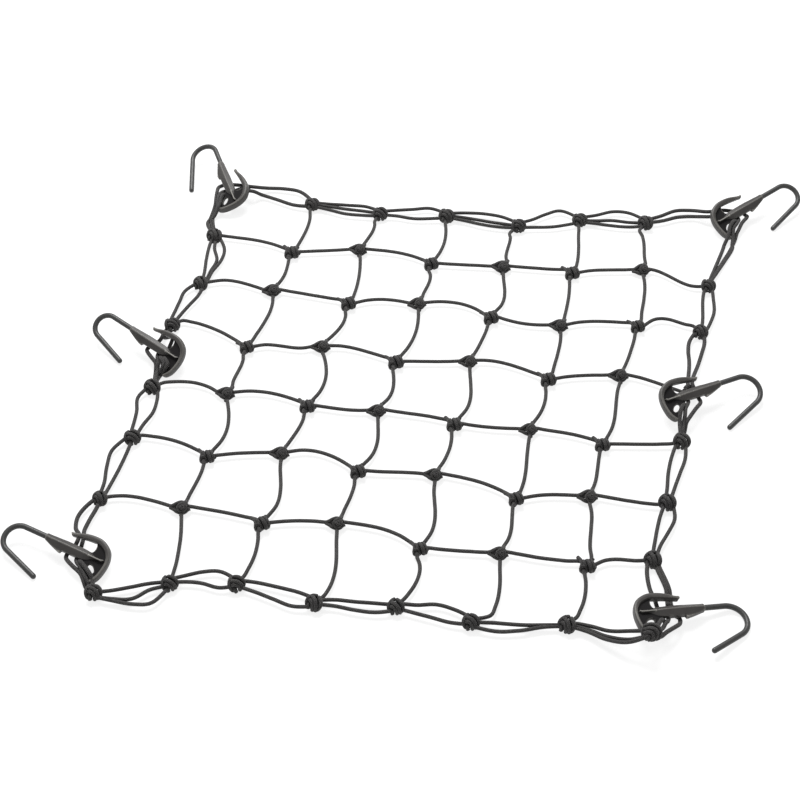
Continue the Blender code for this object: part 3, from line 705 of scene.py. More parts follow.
# A strand's offsets between the knot and the hook (None: it starts under the shank), and
# its way through the hook, (u, v, w) in mm
HOOK_STRANDS = [
    ("far_left", (-4.5, -2.5, -0.5), [
        (7.5, 15, -8), (13, 7, -7), (19, -2, -6.5), (18.5, -7, -3), (15, -10.5, 0.5), (7.5, -13.2, 3),
        (1, -16.3, 2.5), (-6, -24, 0.5)]),
    ("far_left", (12.5, 12.5, 9), [
        (12, 16.5, -8), (19, 8, -7), (27, -2.5, -6.5), (27.4, -7.5, -5), (25.4, -10.6, -3), (18, -12.8, 0),
        (12, -15, 1), (6.5, -17.3, 1), (2.5, -20.7, 0), (-5, -26, 0), (-12, -30.5, 0)]),
    ("far_left", None, [
        (9.5, 13, -6), (15, 6.5, -6), (16.5, -1.5, -6), (13.5, -6.5, -2), (10.5, -8.2, 2.6),
        (5.5, -11.6, 3.2), (0.5, -14.8, 3.2), (-4, -20.5, 1.5), (-9, -26, 1)]),
    ("far_right", (0.8, 2.9, 1.6), [
        (-1, 10, -7), (8, 5, -6.5), (16.5, -2.2, -6), (14.6, -6.6, -1.5), (10, -6.4, 2.8), (4, -9, 3.2),
        (0.4, -12.4, 3.4), (-3.2, -15.8, 2.5), (-9.4, -19.8, 0.5), (-15.2, -24.4, 0.5)]),
    ("far_right", (6.7, 10.9, 9.2), [
        (2, 13.5, -7), (14, 8, -6.8), (25.5, -1.5, -6), (26.6, -6, -4), (25.8, -8, -2), (17.7, -10.5, -0.5),
        (11.6, -13.8, 0), (7.4, -16.2, 0), (2.4, -20.2, 0), (-4, -24.4, 0.5), (-10.4, -29.3, 1)]),
    ("far_right", None, [
        (20, -1.5, -6), (17.5, -6.5, -1.5), (12, -9.2, 1.5), (6.6, -11.4, 2.6), (2.6, -16.2, 1.8),
        (-2.8, -22.3, 1.5), (-9.2, -27.4, 1)]),
    ("mid_left", (0.5, 0.5, 0.5), [
        (17, 12, -7), (13, 6, -3.6), (13.5, 0, -5.8), (17.5, -4, -5), (15, -7.4, -1), (10.6, -11.2, 0.5),
        (7.4, -16.9, 0)]),
    ("mid_left", (-1.5, -1.5, -1), [
        (25.5, 10, -8), (24.3, 4, -6.8), (27, -4.6, -4), (25.6, -8, -2), (18.2, -10.4, -0.5),
        (13, -12.1, -0.5), (9.5, -16.3, -0.5), (7.9, -19.9, -2)]),
    ("mid_left", None, [
        (15, -2, -6), (13.5, -6.2, -2), (9.2, -6.8, 2.6), (5.2, -8.8, 3.4), (4.4, -12.3, 3),
        (4.2, -16.7, 0.5), (4.2, -20.1, -1.5)]),
    ("mid_left", None, [
        (12, -1, -6), (10.6, -5.4, -2), (7, -5.6, 2.8), (2.6, -7.6, 3.4), (1.8, -11, 3), (2.4, -15.6, 0.8),
        (3.6, -20, -1)]),
    ("mid_right", (-7.9, -8, -6.3), [
        (26.5, 10.4, -8), (22, 1.8, -6.5), (13.5, -2, -5.8), (12.6, -6.4, -1.5), (8.6, -8.7, 2.6),
        (5, -12.8, 3), (1.5, -19.5, 1)]),
    ("mid_right", (3.7, 2.5, 0.8), [
        (31, 11.5, -8.5), (28.5, 2, -6.5), (27, -4.6, -4), (25.8, -9, -2), (19, -13, 0), (11.5, -17.8, 0.5),
        (6.8, -21.2, 0), (3.5, -26.5, -2.5)]),
    ("mid_right", None, [
        (19, -0.5, -6), (16.6, -5.8, -1.5), (11, -10.6, 1), (7.6, -16, 1.5), (4.5, -21, 0)]),
    ("near_left", (-0.2, -1, -1), [
        (25, 12, -7.5), (21.4, 1.8, -6.3), (17, -5, -3), (12.8, -7, 2.4), (7.5, -9.4, 3), (2, -12.4, 3.2),
        (-1.5, -15.6, 1.5)]),
    ("near_left", (-8.2, -10.2, -7.7), [
        (28.8, 12.2, -7.5), (26.8, 2.2, -6), (27.2, -4.6, -3), (25.5, -8.2, -2), (18, -11.4, 0),
        (9.8, -14, 0.5), (4, -18.5, 0.5), (0.5, -21.5, -1)]),
    ("near_left", None, [
        (21, -1, -6), (18, -6.6, -1.5), (13, -9.6, 1), (8, -12.6, 1.6), (2, -16.8, 1.6), (-1.5, -19.6, 0)]),
    ("near_right", (-6, -6.7, -6.2), [
        (16.5, 15, -6.5), (16, 8.6, -6.2), (16.5, 0, -6.2), (15, -7, -1), (12, -8.8, 3), (8.5, -12.5, 4),
        (6, -16, 4)]),
    ("near_right", (3.4, 5.6, 7), [
        (28.5, 16, -7.5), (26.8, 9, -6.8), (27.3, 0, -6.5), (28.6, -3.4, -5), (26.8, -8.8, -3),
        (21.7, -12.6, -1), (14, -16.8, 0), (7.7, -20.4, 0.5)]),
    ("near_right", (1.3, 3.4, 4.9), [
        (26, 16, -7.5), (24.3, 9, -6.8), (22, 0, -6.3), (18.5, -6.5, -2), (14.5, -10.8, 1.5),
        (10, -15.6, 2)]),
]
SLACK_RADIUS = 1.55         # mm: nothing stretches the cord here


def hooked_routes():
    routes = []
    for name, offsets, way in HOOK_STRANDS:
        entry, before, following = PASSAGES[name]
        points = []
        if offsets is not None:
            start, end = knots[before], Vector((*entry, CORD_HEIGHT)) + ORIGIN_SHIFT
            points = offset_points(start, end, offsets, [CORD_HEIGHT] * 3)
            points.insert(0, port(start, square_to(start, end), offsets[0]))
        through = [poses[name].cord_point(*place) for place in way]
        routes.append([*points, *through, knots[following]])
    return routes


add_piece(
    "net_hook_cords", mark_creases(cord_mesh("net_hook_cords", hooked_routes(), SLACK_RADIUS)))

# %% [markdown]
# ## Knots
#
# Each crossing is tied, so its knot is the cord itself, wound on itself. Two ways of tying
# take turns: one shows a broad band that slants over the knot, the other a loop that lies
# round a middle turn like a wing. A knot could be a carved lump, but the turns are what the
# eye sees, so each kind is drawn once as real cord, and Geometry Nodes sets it on every
# place, each a little turned and sized, as no two hand-tied knots are the same.

# %% Knot turns
# Centre lines of the cord in a knot as it looks from the camera: (right, up, towards the
# camera) in mm from its middle
KNOT_TURNS = {
    "band": [
        # the broad band's outer and inner turn, which slant down to the right
        [(0.4, 2.6, -3.4), (1.6, 4.2, -0.4), (3.3, 3.4, 2.8), (4.3, 1.2, 4), (4.8, -1.1, 3.4),
         (4.2, -2.9, 1.2), (2.2, -3, -2)],
        [(-1.2, 3, -2.4), (-0.4, 4.1, 0.8), (1.1, 2.9, 4), (2.1, 0.8, 5), (2.8, -1.3, 4.6), (3, -3.3, 2.4),
         (1.8, -3.6, -1)],
        # the left cord comes in and runs down the left side
        [(-7.4, 5.2, -4.6), (-5, 3.6, -1.4), (-3.9, 1.6, 2.2), (-4.3, -1.2, 3), (-4.2, -3.6, 1.8),
         (-2.8, -5, -0.4), (-0.8, -4, -2.6)],
        # the hood, under which the cord towards the viewer comes out
        [(-3.4, 3.6, 0.8), (-2.4, 2.6, 2.6), (-1.6, 1, 3.3), (-1, -0.8, 3), (-0.4, -2.8, 1.6),
         (-0.4, -4.2, 0)],
        [(-4.6, -2.4, 1.8), (-3.7, -0.6, 3.2), (-2.5, 0.5, 3.8), (-1.2, -0.2, 3.2), (-0.4, -2, 1.8)],
        [(-2.4, -0.4, 1.4), (-2.3, -2.2, 3.2), (-2.1, -3.9, 4.2), (-1.9, -5.4, 4.8)],
        # the right cord, from behind, and the cord away from the viewer
        [(1, 0.8, -2.8), (3.6, 0.2, -1.6), (6.2, -0.4, 0.2)],
        [(1.2, 1.4, -3.4), (3, 3.6, -4), (3.8, 5.4, -4.8)],
    ],
    "wing": [
        # the two strands of the wing, and the one between them
        [(-8, 0.3, -0.4), (-5.6, 1.3, 0.8), (-2.8, 2.9, 1.2), (0, 3.8, 1), (2.8, 3.2, 0.6), (4.4, 1.6, 0.2)],
        [(-8, -0.3, -0.2), (-5.4, -1.4, 1), (-2.8, -3, 1.8), (0.2, -3.9, 1.9), (2.8, -3.4, 1.6),
         (4.8, -1.6, 0.8), (6.6, -0.7, 0.6)],
        [(-6, 0, 0), (-3.6, 0.1, 0.6), (-0.6, 0.4, 1.6)],
        # the ball in the middle, and the cord that leaves it away from the viewer
        [(3.6, 5.2, -4.6), (3.3, 4, -2), (1.9, 3.2, 2.4), (-0.1, 2.4, 3.8), (-1.4, 0.8, 4),
         (-1.3, -1.2, 3.9), (0.3, -2.3, 3.8), (2.3, -1.9, 3.6), (3.5, -0.1, 3.2), (3.2, 1.8, 2.8),
         (1.6, 2, 3.4)],
        [(-0.2, 1.4, 4.6), (0.5, 0.2, 5.2), (1.5, -0.5, 5.1), (2.5, 0.3, 4.4)],
        [(0.6, 1.6, 4.4), (1.6, 1, 4.8), (2.4, 0.8, 4.2)],
        # the cord towards the viewer
        [(0.9, -1.6, 0.6), (0.9, -3.2, 1.4), (0.8, -4.6, 2.8), (0.6, -5.8, 4.4)],
    ],
    "border": [
        # two lobes and the band between them
        [(-1.2, 4.8, -1.6), (-3.2, 4, 1.4), (-4.8, 1.6, 2.6), (-5, -1, 2.4), (-3.8, -3.4, 1.4),
         (-1.4, -4.6, -1)],
        [(0.6, 4.6, -1), (2.8, 3.9, 1.8), (4.6, 1.8, 2.8), (5, -0.8, 2.6), (3.9, -3.2, 1.6),
         (1.6, -4.4, -0.8)],
        [(-4.2, 2.6, 1.4), (-2.4, 3.2, 3.2), (0, 2.2, 4.7), (1.8, 0, 4.8), (2.8, -2.4, 3.6), (3, -4.4, 1.2)],
        [(-4.4, -0.2, 2), (-2.8, 0.7, 3.8), (-0.9, 0, 4.6), (0.5, -2, 4.2), (1, -4.2, 2.4), (0.8, -5.6, 0.4)],
        [(-2.4, -1.2, 2.4), (-2.6, -3.2, 3.2), (-2.3, -5.2, 2.4)],
    ],
    "ends": [
        # round turns over the ball, from its far side to the near one, and one behind them
        [(-4.8, 3.6, -1), (-2.2, 5, 1.2), (1.2, 5.2, 2.4), (4.4, 3.4, 2.8), (5.8, 0.2, 2.4), (5.2, -3.2, 1.4),
         (2.6, -5.4, 0.2)],
        [(-4.4, 1.8, 1.6), (-1.8, 3, 3.8), (1.2, 2.6, 4.8), (3.2, 0.6, 4.6), (3.2, -2.2, 3.8),
         (1.4, -4.6, 2.4), (-0.8, -5.8, 0.6)],
        [(-4.8, -0.6, 2.2), (-2.6, 0.6, 4.2), (-0.2, 0.2, 5), (0.8, -1.8, 4.6), (-0.2, -4, 3.4),
         (-2.2, -5.2, 1.4)],
        [(-5, -2.6, 1.4), (-3.2, -1.8, 3.6), (-1.8, -2.4, 4), (-2.2, -4, 2.8), (-3.8, -4.6, 0.8)],
        [(-3.4, 4.4, -1.6), (-5.4, 1.4, -0.6), (-5.6, -1.6, -0.6), (-4, -4.4, -1.4)],
    ],
}
TURN_RADIUS = 1.45          # mm: the cord swells a little where nothing stretches it
TURN_SIDES = 10
TURN_WANDER = 0.2           # mm
LOWEST_TURN = -2.5          # mm below the knot's middle: its turns lie flat on the floor
KNOT_CORES = {              # half sizes in mm
    "band": (3.1, 3.1, 3.1), "wing": (2.8, 2.8, 2.8), "border": (3.6, 3.6, 3.6), "ends": (4, 4, 3.6)}
RIGHT, UP, BACK = view_directions()


def seen(right, up, near):
    """A point given as it looks from the camera, as (right, away, up) in the scene."""
    point = RIGHT * right + UP * up + BACK * near
    point.z = max(point.z, LOWEST_TURN)
    return point


def seen_turns(kind):
    return [[seen(*spot) for spot in turn] for turn in KNOT_TURNS[kind]]


def knot_mesh(name, turns, spacing, core_sizes, middle=Vector()):
    """The turns round a dark lump, so that no light falls through the knot; all in mm."""
    routes = [[middle + spot for spot in turn] for turn in turns]
    mesh = cord_mesh(name, routes, TURN_RADIUS, TURN_SIDES, spacing, TURN_WANDER)
    shape = bmesh.new()
    shape.from_mesh(mesh)
    core = bmesh.ops.create_icosphere(shape, subdivisions=2, radius=1)
    for vertex in core["verts"]:
        vertex.co = (middle + Vector([value * half for value, half in zip(vertex.co, core_sizes)])) * MM
    for face in shape.faces:
        face.smooth = True
    shape.to_mesh(mesh)
    shape.free()
    return mark_creases(mesh)


print("turns drawn:", {kind: len(turns) for kind, turns in KNOT_TURNS.items()})

# %% Knot tree
TILT_SHARES = (0.3, 0.3, 1)             # of the tilt, about x, y and z


def make_knot_tree():
    tree, given = new_tree("a knot on each place", {
        "Geometry": "Geometry", "Knot": "Object", "Tilt": "Float", "Smallest": "Float",
        "Biggest": "Float", "Seed": "Int", "Finish": "Material"})
    knot = add_node(tree, "GeometryNodeObjectInfo", {"Object": given["Knot"]}, out="Geometry")
    low, high = (
        add_node(
            tree, "ShaderNodeVectorMath",
            {0: [side * share for share in TILT_SHARES], "Scale": given["Tilt"]}, operation="SCALE")
        for side in (-1, 1))
    turn = add_node(
        tree, "FunctionNodeRandomValue", {0: low, 1: high, "Seed": given["Seed"]},
        data_type="FLOAT_VECTOR")
    size = add_node(
        tree, "FunctionNodeRandomValue",
        {2: given["Smallest"], 3: given["Biggest"], "Seed": given["Seed"]}, out=1, data_type="FLOAT")
    placed = add_node(tree, "GeometryNodeInstanceOnPoints", {
        "Points": given["Geometry"], "Instance": knot, "Rotation": turn, "Scale": size})
    return end_tree(tree, placed, given["Finish"])


knot_tree = make_knot_tree()
KNOT_SPACING = 0.8          # mm along the cord from ring to ring
KNOT_KINDS = {
    # kind: (tilt in degrees, smallest and biggest size, seed)
    "band": (10, 0.92, 1.02, 3),
    "wing": (9, 0.92, 1.02, 5),
    "border": (30, 0.96, 1.06, 8),
}


def tie_knots(kind, tilt, smallest, biggest, seed):
    """All knots of one kind, each on its place."""
    mesh = bpy.data.meshes.new("knot places")
    mesh.from_pydata([place * MM for key, place in knots.items() if knot_kind(*key) == kind], [], [])
    drawn = knot_mesh("knot_" + kind, seen_turns(kind), KNOT_SPACING, KNOT_CORES[kind])
    template = add_object("knot_" + kind, drawn)
    knotted = run_tree(add_object("knot places", mesh), knot_tree, {
        "Knot": template, "Tilt": math.radians(tilt), "Smallest": smallest, "Biggest": biggest,
        "Seed": seed, "Finish": cord_finish})
    bpy.data.objects.remove(template, do_unlink=True)
    add_piece("net_knots_" + kind, knotted)


for kind, values in KNOT_KINDS.items():
    tie_knots(kind, *values)

# %% [markdown]
# ## The two odd knots
#
# One border knot lies flat under a hook's shank. The last one, where the cord's two ends
# are tied together, is a bigger ball of turns, and it has ridden up on a hook's lobe.

# %% Odd knots
ODD_SPACING = 0.9           # mm along the cord from ring to ring
PRESSED_SHIFT = Vector((-1, 5.5, 0.6))  # mm
PRESSED_SIZES = (5, 6, 2)               # mm, half sizes
PRESSED_TURNS = 3
PRESSED_TILT = (70, 20, 0)              # degrees
POLE_START, POLE_SPAN = 0.12, 0.76      # the winding leaves the ball's two poles bare


def ball_turns(half_sizes, turns, tilt, steps=9):
    """A line wound round a ball from pole to pole, as yarn is wound, tilted by (x, y, z) degrees."""
    turn = Euler([math.radians(angle) for angle in tilt]).to_matrix()
    line = []
    count = int(turns * steps)
    for step in range(count + 1):
        share = step / count
        polar = math.pi * (POLE_START + POLE_SPAN * share)
        around = 2 * math.pi * turns * share
        spot = turn @ Vector((
            math.sin(polar) * math.cos(around), math.sin(polar) * math.sin(around), math.cos(polar)))
        line.append(Vector([value * half for value, half in zip(spot, half_sizes)]))
    return line


pressed = [ball_turns(PRESSED_SIZES, PRESSED_TURNS, PRESSED_TILT)]
for name, turns, sizes, place in (
        ("net_knot_pressed", pressed, PRESSED_SIZES, knots[PRESSED_KNOT] + PRESSED_SHIFT),
        ("net_knot_ends", seen_turns("ends"), KNOT_CORES["ends"], knots[END_KNOT])):
    add_piece(name, knot_mesh(name, turns, ODD_SPACING, sizes, place))

# %% [markdown]
# ## The hook bodies
#
# A hook body is moulded in one shot of tough plastic: a C-shaped rim that carries the claw
# and the crown, a thin web inside it, and a six-sided shank whose facets meet in a ridge.
# The mould's edges are rounded, so the pieces are lofted one by one, melted together with a
# fine voxel remesh, and smoothed a little, which gives every joint its small fillet.

# %% Hook plastic
def make_plastic():
    """Injection-moulded nylon: warm graphite, finely grained, paler on its edges from wear and painted
    highlights, with painted shade in its recess.
    """
    material, tree, place = new_material("moulded nylon")
    edge = add_node(tree, "ShaderNodeAttribute", out="Fac", attribute_name="edge")
    recess = add_node(tree, "ShaderNodeAttribute", out="Fac", attribute_name="recess")
    clouds = add_node(tree, "ShaderNodeTexNoise", {"Vector": place, "Scale": 90, "Detail": 4})
    grain = add_node(tree, "ShaderNodeTexNoise", {"Vector": place, "Scale": 2200, "Detail": 2})
    body = add_node(
        tree, "ShaderNodeMix", {0: clouds, 6: linear("#3a3837"), 7: linear("#4b4947")}, **BLEND)
    # painted shade: the web's recess inside the rim is painted near black
    recess_shaded = add_node(tree, "ShaderNodeMix", {0: recess, 6: body, 7: linear("#151314")}, **BLEND)
    # painted highlight, partly wear: sharp edges, the rib and the ridge are painted pale
    rubbed = add_node(tree, "ShaderNodeMix", {0: edge, 6: recess_shaded, 7: linear("#86847f")}, **BLEND)
    moulded = add_node(tree, "ShaderNodeMapRange", {0: clouds, 1: 0.3, 2: 0.7, 3: 0.34, 4: 0.46})
    rough = add_node(tree, "ShaderNodeMapRange", {0: recess, 3: moulded, 4: 0.85})
    bump = add_node(tree, "ShaderNodeBump", {"Strength": 0.35, "Distance": 0.05 * MM, "Height": grain})
    feed(tree.nodes["Principled BSDF"], {
        "Base Color": rubbed, "Roughness": rough, "Normal": bump, "IOR": 1.53, "Specular IOR Level": 0.28})
    return material


plastic_finish = make_plastic()
print("hook finish:", plastic_finish.name)

# %% Rim of a hook
# Stations along the rim, from the claw's tip over the crown to the lobe's end, in mm
RIM = [
    # outer u, v, inner u, v, half depth
    (31.6, 9.6, 30.4, 8.9, 1.2),
    (30.6, 10.5, 29.6, 7.9, 2.5),
    (27.5, 10.8, 26.9, 8.4, 2.7),
    (20, 13.4, 19, 9.4, 3.1),
    (13, 14.4, 13, 9.9, 3.3),
    (6, 13.8, 8.2, 9.9, 3.3),
    (-0.7, 10, 2.2, 7, 3.3),
    (-3.9, 4.8, -1.2, 2.8, 3.3),
    (-5.1, -1.4, -2.5, -1.9, 3.3),
    (-4.8, -7.8, -2.4, -7.2, 3.3),
    (-3.7, -13, -1.4, -11.8, 3.2),
    (-1.4, -16.8, 0.4, -14.8, 2.9),
    (0.8, -17.8, 1.4, -15.8, 2.2),
    (2, -17.4, 2, -16.2, 1),
]
RIM_STEPS = 4               # rings from station to station
RIM_CORNERS = 16
SQUARENESS = 3.4            # of the rim's section: 2 is an ellipse, more is squarer


def loft(shape, rings):
    """Joins rings of points, each with as many, into a closed skin."""
    rows = [[shape.verts.new(point) for point in ring] for ring in rings]
    for row, after in zip(rows, rows[1:]):
        for index in range(len(row)):
            following = (index + 1) % len(row)
            shape.faces.new((row[index], row[following], after[following], after[index]))
    shape.faces.new(list(reversed(rows[0])))
    shape.faces.new(rows[-1])


def circle(count):
    """The (cosine, sine) of this many equal steps round a circle."""
    angles = [2 * math.pi * step / count for step in range(count)]
    return [(math.cos(angle), math.sin(angle)) for angle in angles]


def squared(value):
    """Moves a cosine or sine outwards, which makes a rounded square of a circle."""
    return math.copysign(abs(value) ** (2 / SQUARENESS), value)


def rim_rings():
    lines = [
        [(*row[:2], 0) for row in RIM], [(*row[2:4], 0) for row in RIM], [(row[4], 0, 0) for row in RIM]]
    rings = []
    for outer, inner, depth in zip(*[smooth_line(line, RIM_STEPS) for line in lines]):
        middle, half = (outer + inner) / 2, (outer - inner) / 2
        rings.append([
            middle + half * squared(across) + Vector((0, 0, depth.x * squared(deep)))
            for across, deep in circle(RIM_CORNERS)])
    return rings


print("rim:", len(rim_rings()), "rings of", RIM_CORNERS)

# %% Shank and plates of a hook
# Sections of the shank, from the rib's end on the crown to the collar round the wire, in mm
SHANK = [
    # u, claw edge v, hook edge v, half depth at the ridge, half depth at the edges
    (4, 0.4, -1.4, 1.4, 0.9),
    (8, 1.8, -2.8, 2.6, 1.2),
    (11, 2.6, -4.2, 3.2, 1.5),
    (14, 2.9, -4.9, 3.5, 1.7),
    (22, 3, -5.1, 3.8, 1.9),
    (30, 3, -5.1, 3.9, 1.9),
    (31.6, 2.9, -4.9, 3.9, 1.9),
    (38, 2.6, -4.6, 3.7, 1.9),
    (43.6, 2.4, -3.3, 3.4, 1.9),
    (45, 2.5, -2.9, 3.3, 2),
    (46.2, 2.2, -2.5, 2.9, 1.8),
]
RIDGE_SHARE = 0.4           # the ridge lies this far from u's axis towards mid-section
RIDGE_HALF_FLAT = 0.25      # mm
# Outlines of the plates, (u, v) in mm, and their half depths
CLIP = [                    # the wedge on the hook side, ending in a notch
    (30.6, -4.2), (31.4, -6.7), (33, -6.8), (38.5, -5.2), (43.5, -3.4), (43.5, -1), (30.6, -1),
]
CLIP_HALF_DEPTH = 1.7
RIB = [(-0.6, 0.9), (0.4, 0.2), (12, 0.1), (12, -1), (0.2, -0.9), (-0.8, -0.1), (-1.4, 0.5)]
RIB_HALF_DEPTH = 3.3
WEB = [
    (10.2, 10.4), (9.2, 8.4), (8.8, 6), (9.4, 3.4), (14, 0), (14, -4.8), (11.5, -8.6), (7, -12.3),
    (1.2, -16.4), (-2.4, -12.8), (-3.6, -7.8), (-3.9, -1.2), (-2.6, 3.4), (0.4, 8), (5.5, 11.4),
]
WEB_HALF_DEPTH = 1.1
HOLE_CENTRE = (4.6, -8.3)
HOLE_HALF_SIZES = (3.7, 1.9)
HOLE_ANGLE = 37             # degrees
HOLE_CORNERS = 24


def shank_rings():
    rings = []
    for u, claw_edge, hook_edge, ridge, edge in SHANK:
        ridge_v = RIDGE_SHARE * (claw_edge + hook_edge) / 2
        near, far = ridge_v + RIDGE_HALF_FLAT, ridge_v - RIDGE_HALF_FLAT
        corners = (
            (claw_edge, edge), (near, ridge), (far, ridge), (hook_edge, edge),
            (hook_edge, -edge), (far, -ridge), (near, -ridge), (claw_edge, -edge))
        rings.append([Vector((u, v, w)) for v, w in corners])
    return rings


def plate(outlines, half_depth):
    """A filled outline with its holes, as a mesh of this thickness."""
    curve = bpy.data.curves.new("plate", "CURVE")
    curve.dimensions = "2D"
    curve.fill_mode = "BOTH"
    curve.extrude = half_depth
    for outline in outlines:
        spline = curve.splines.new("POLY")
        spline.points.add(len(outline) - 1)
        spline.use_cyclic_u = True
        for point, place in zip(spline.points, outline):
            point.co = (*place, 0, 1)
    return as_mesh(add_object("plate", curve))


def hole_outline():
    turn = Matrix.Rotation(math.radians(HOLE_ANGLE), 2)
    long, short = HOLE_HALF_SIZES
    spots = [turn @ Vector((long * across, short * up)) for across, up in circle(HOLE_CORNERS)]
    return [(HOLE_CENTRE[0] + spot.x, HOLE_CENTRE[1] + spot.y) for spot in spots]


print("shank:", len(SHANK), "sections; web:", len(WEB), "corners")

# %% Melting the body together
VOXEL = 0.42                # mm
SOFTENING = (0.5, 2)        # how far a point moves towards its neighbours, and how many times
KEPT_SHARE = 0.8            # of the remesh's faces


def melted(mesh):
    """Remeshes overlapping shells into one skin, smooths it and thins it out."""
    thing = add_object(mesh.name, mesh)
    remesh = thing.modifiers.new("melt", "REMESH")
    remesh.mode = "VOXEL"
    remesh.voxel_size = VOXEL
    remesh.adaptivity = 0
    soften = thing.modifiers.new("soften", "SMOOTH")
    soften.factor, soften.iterations = SOFTENING
    thin = thing.modifiers.new("thin", "DECIMATE")
    thin.ratio = KEPT_SHARE
    return as_mesh(thing)


def finished_shape(name, shape):
    """A built shape as a mesh whose faces all point outwards."""
    bmesh.ops.recalc_face_normals(shape, faces=shape.faces)
    mesh = bpy.data.meshes.new(name)
    shape.to_mesh(mesh)
    shape.free()
    return mesh


print("voxels of", VOXEL, "mm")

# %% Pale edges: wear and painted highlights
EDGE_BEND = (0.12, 0.36)    # 1/mm: where an edge begins to look pale, from wear and a painted highlight, and where it is palest
EDGE_ROUNDS = 2             # how often the bends are evened out between neighbours
RIB_END = -0.8              # mm along u: from here to the ridge's start the rib is painted pale, a painted highlight, and from there to the collar the ridge is
RIDGE_START = 11            # and from there to the collar the ridge is
RIDGE_V = -0.4              # mm
RIDGE_HALF_WIDTH = 0.55     # mm
RIDGE_LEAST_DEPTH = 2.6     # mm out of the hook's plane
RIB_HALF_WIDTH = 1.5        # mm
RIDGE_HIGHLIGHT = 0.35         # how pale the two painted highlights are, 1 being the palest
RIB_HIGHLIGHT = 0.85
WEB_END = 14                # mm along u
ROUNDING = 0.5              # mm: the melting moves the skin by less than this
WALL_SLANT = 0.5            # a wall's normal has less than this out of the hook's plane


def skin_bends(places, normals, ends):
    """How convex the skin is at each point, in 1/mm, evened out over its neighbours."""
    bend, number = np.zeros(len(places)), np.zeros(len(places))
    for a, b in (ends.T, ends.T[::-1]):
        step = places[b] - places[a]
        rise = (normals[b] * step).sum(1) / np.maximum((step ** 2).sum(1), 1e-9)
        np.add.at(bend, a, rise)
        np.add.at(number, a, 1)
    bend /= np.maximum(number, 1)
    for _ in range(EDGE_ROUNDS):
        total = bend.copy()
        for a, b in (ends.T, ends.T[::-1]):
            np.add.at(total, a, bend[b])
        bend = total / (number + 1)
    return bend


def mark_edges(mesh):
    """Stores how pale each point is painted, 1 on sharp edges and 0 on flats, for wear and painted
    highlights, and where the recess is, for its painted shade.
    """
    places, normals = np.zeros(len(mesh.vertices) * 3), np.zeros(len(mesh.vertices) * 3)
    ends = np.zeros(len(mesh.edges) * 2, int)
    mesh.vertices.foreach_get("co", places)
    mesh.vertices.foreach_get("normal", normals)
    mesh.edges.foreach_get("vertices", ends)
    places, normals = places.reshape(-1, 3), normals.reshape(-1, 3)
    bend = skin_bends(places, normals, ends.reshape(-1, 2))
    share = np.clip((bend - EDGE_BEND[0]) / (EDGE_BEND[1] - EDGE_BEND[0]), 0, 1)
    u, v, w = places.T
    on_ridge = (u > RIDGE_START) & (abs(v - RIDGE_V) < RIDGE_HALF_WIDTH) & (abs(w) > RIDGE_LEAST_DEPTH)
    on_rib = (
        (u > RIB_END) & (u < RIDGE_START) & (abs(v) < RIB_HALF_WIDTH) & (abs(w) > RIB_HALF_DEPTH - ROUNDING))
    # the ridge and the rib get painted highlights on top of the pale edges
    share = np.maximum(share, RIDGE_HIGHLIGHT * on_ridge + RIB_HIGHLIGHT * on_rib)
    on_web = (u < WEB_END) & (abs(w) < WEB_HALF_DEPTH + ROUNDING)
    store(mesh, "edge", share)
    store(mesh, "recess", on_web & (abs(normals[:, 2]) >= WALL_SLANT))
    print("rubbed edges, mean:", round(float(share.mean()), 3))


def hook_body_mesh():
    shape = bmesh.new()
    loft(shape, rim_rings())
    loft(shape, shank_rings())
    for outlines, half_depth in (
            ([WEB, hole_outline()], WEB_HALF_DEPTH), ([CLIP], CLIP_HALF_DEPTH), ([RIB], RIB_HALF_DEPTH)):
        shape.from_mesh(plate(outlines, half_depth))
    bmesh.ops.remove_doubles(shape, verts=shape.verts, dist=1e-5)
    mesh = melted(finished_shape("hook_body", shape))
    mark_edges(mesh)
    mesh.shade_smooth()
    mesh.materials.clear()
    mesh.materials.append(plastic_finish)
    return mesh


body_mesh = hook_body_mesh()
for name, pose in poses.items():
    placed = body_mesh.copy()
    placed.transform(pose.matrix())
    add_piece("hook_shell_" + name, placed, ["hook_body_" + name])

# %% [markdown]
# ## The coated wires
#
# Each J is steel wire dipped in soft plastic. The coat is smooth, with a satin shine, a
# little uneven where it ran, and it closes round the tip in a rounded blob.

# %% Wire coating
def make_coating():
    """Dipped vinyl: dark grey, satin, with long faint runs in its thickness."""
    material, tree, place = new_material("dipped vinyl coat")
    runs = add_node(tree, "ShaderNodeTexNoise", {"Vector": place, "Scale": 160, "Detail": 2})
    dust = add_node(tree, "ShaderNodeTexNoise", {"Vector": place, "Scale": 1500, "Detail": 2})
    colour = add_node(
        tree, "ShaderNodeMix", {0: runs, 6: linear("#363636"), 7: linear("#464645")}, **BLEND)
    rough = add_node(tree, "ShaderNodeMapRange", {0: dust, 1: 0.3, 2: 0.7, 3: 0.34, 4: 0.46})
    bump = add_node(tree, "ShaderNodeBump", {"Strength": 0.15, "Distance": 0.1 * MM, "Height": runs})
    feed(tree.nodes["Principled BSDF"], {
        "Base Color": colour, "Roughness": rough, "Normal": bump, "IOR": 1.54, "Specular IOR Level": 0.35})
    return material


coating_finish = make_coating()
print("wire finish:", coating_finish.name)

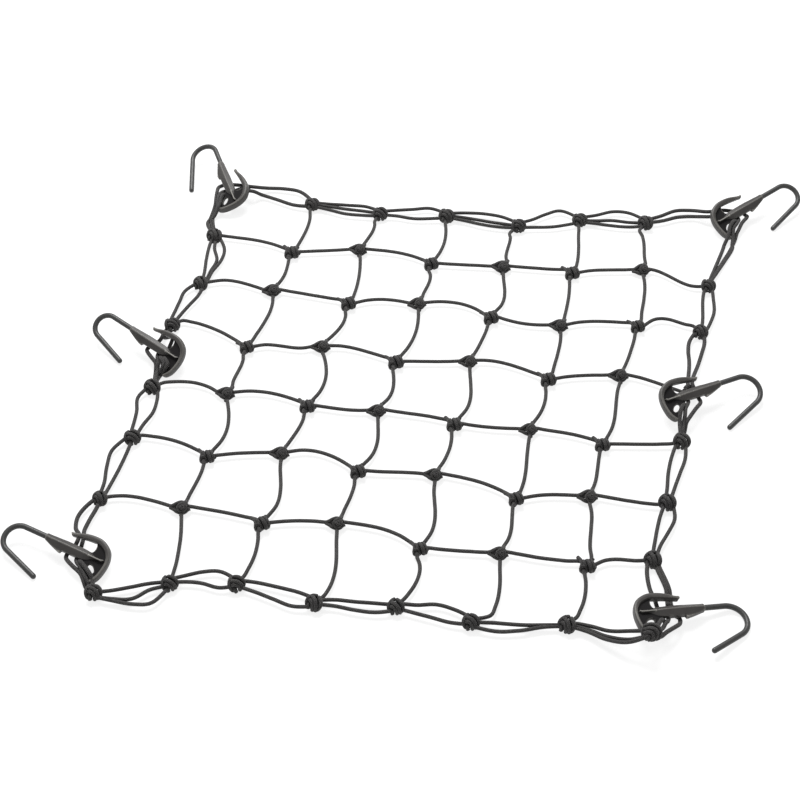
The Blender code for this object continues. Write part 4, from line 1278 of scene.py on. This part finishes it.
# %% Wires
SHANK_LENGTH = 46           # mm
SOCKET_DEPTH = 8            # mm
WIRE_RADIUS = 2.05          # mm
WIRE_SIDES = 20
LEAD_SHARES = (0.35, 0.7)   # stations on the lead, in the bend and on the leg
BEND_STEPS = 24
LEG_SHARES = (0.33, 0.66, 1)
# The rounded tip: share of the radius that is left, and how far out, in radii
TIP = [(1, 0), (0.97, 0.3), (0.87, 0.55), (0.68, 0.78), (0.4, 0.94), (0.12, 1)]


def wire_line(lead, bend, turn, leg):
    """The J's centre line from inside the shank to where the tip begins, and its last direction."""
    line = [Vector((u, 0, 0)) for u in (SHANK_LENGTH - SOCKET_DEPTH, SHANK_LENGTH)]
    line += [Vector((SHANK_LENGTH + lead * share, 0, 0)) for share in LEAD_SHARES]
    centre = Vector((SHANK_LENGTH + lead, -bend, 0))
    for step in range(BEND_STEPS + 1):
        angle = math.radians(turn) * step / BEND_STEPS
        line.append(centre + Vector((math.sin(angle), math.cos(angle), 0)) * bend)
    along = Vector((math.cos(math.radians(turn)), -math.sin(math.radians(turn)), 0))
    bend_end = line[-1]
    line += [bend_end + along * (leg - WIRE_RADIUS) * share for share in LEG_SHARES]
    return line, along


def wire_mesh(name, lead, bend, turn, leg):
    line, along = wire_line(lead, bend, turn, leg)
    stations = [(place, 1) for place in line[:-1]]
    stations += [(line[-1] + along * WIRE_RADIUS * out, share) for share, out in TIP]
    rings = []
    for index, (place, share) in enumerate(stations):
        before = stations[max(index - 1, 0)][0]
        after = stations[min(index + 1, len(stations) - 1)][0]
        aside = UPWARD.cross((after - before).normalized())
        rings.append([
            place + (aside * across + UPWARD * up) * WIRE_RADIUS * share
            for across, up in circle(WIRE_SIDES)])
    shape = bmesh.new()
    loft(shape, rings)
    mesh = finished_shape(name, shape)
    mesh.shade_smooth()
    mesh.materials.append(coating_finish)
    return mesh


for name, row in HOOKS.items():
    mesh = wire_mesh("wire_coat_" + name, *row[7:])
    mesh.transform(poses[name].matrix())
    add_piece("wire_coat_" + name, mesh, ["hook_wire_" + name])
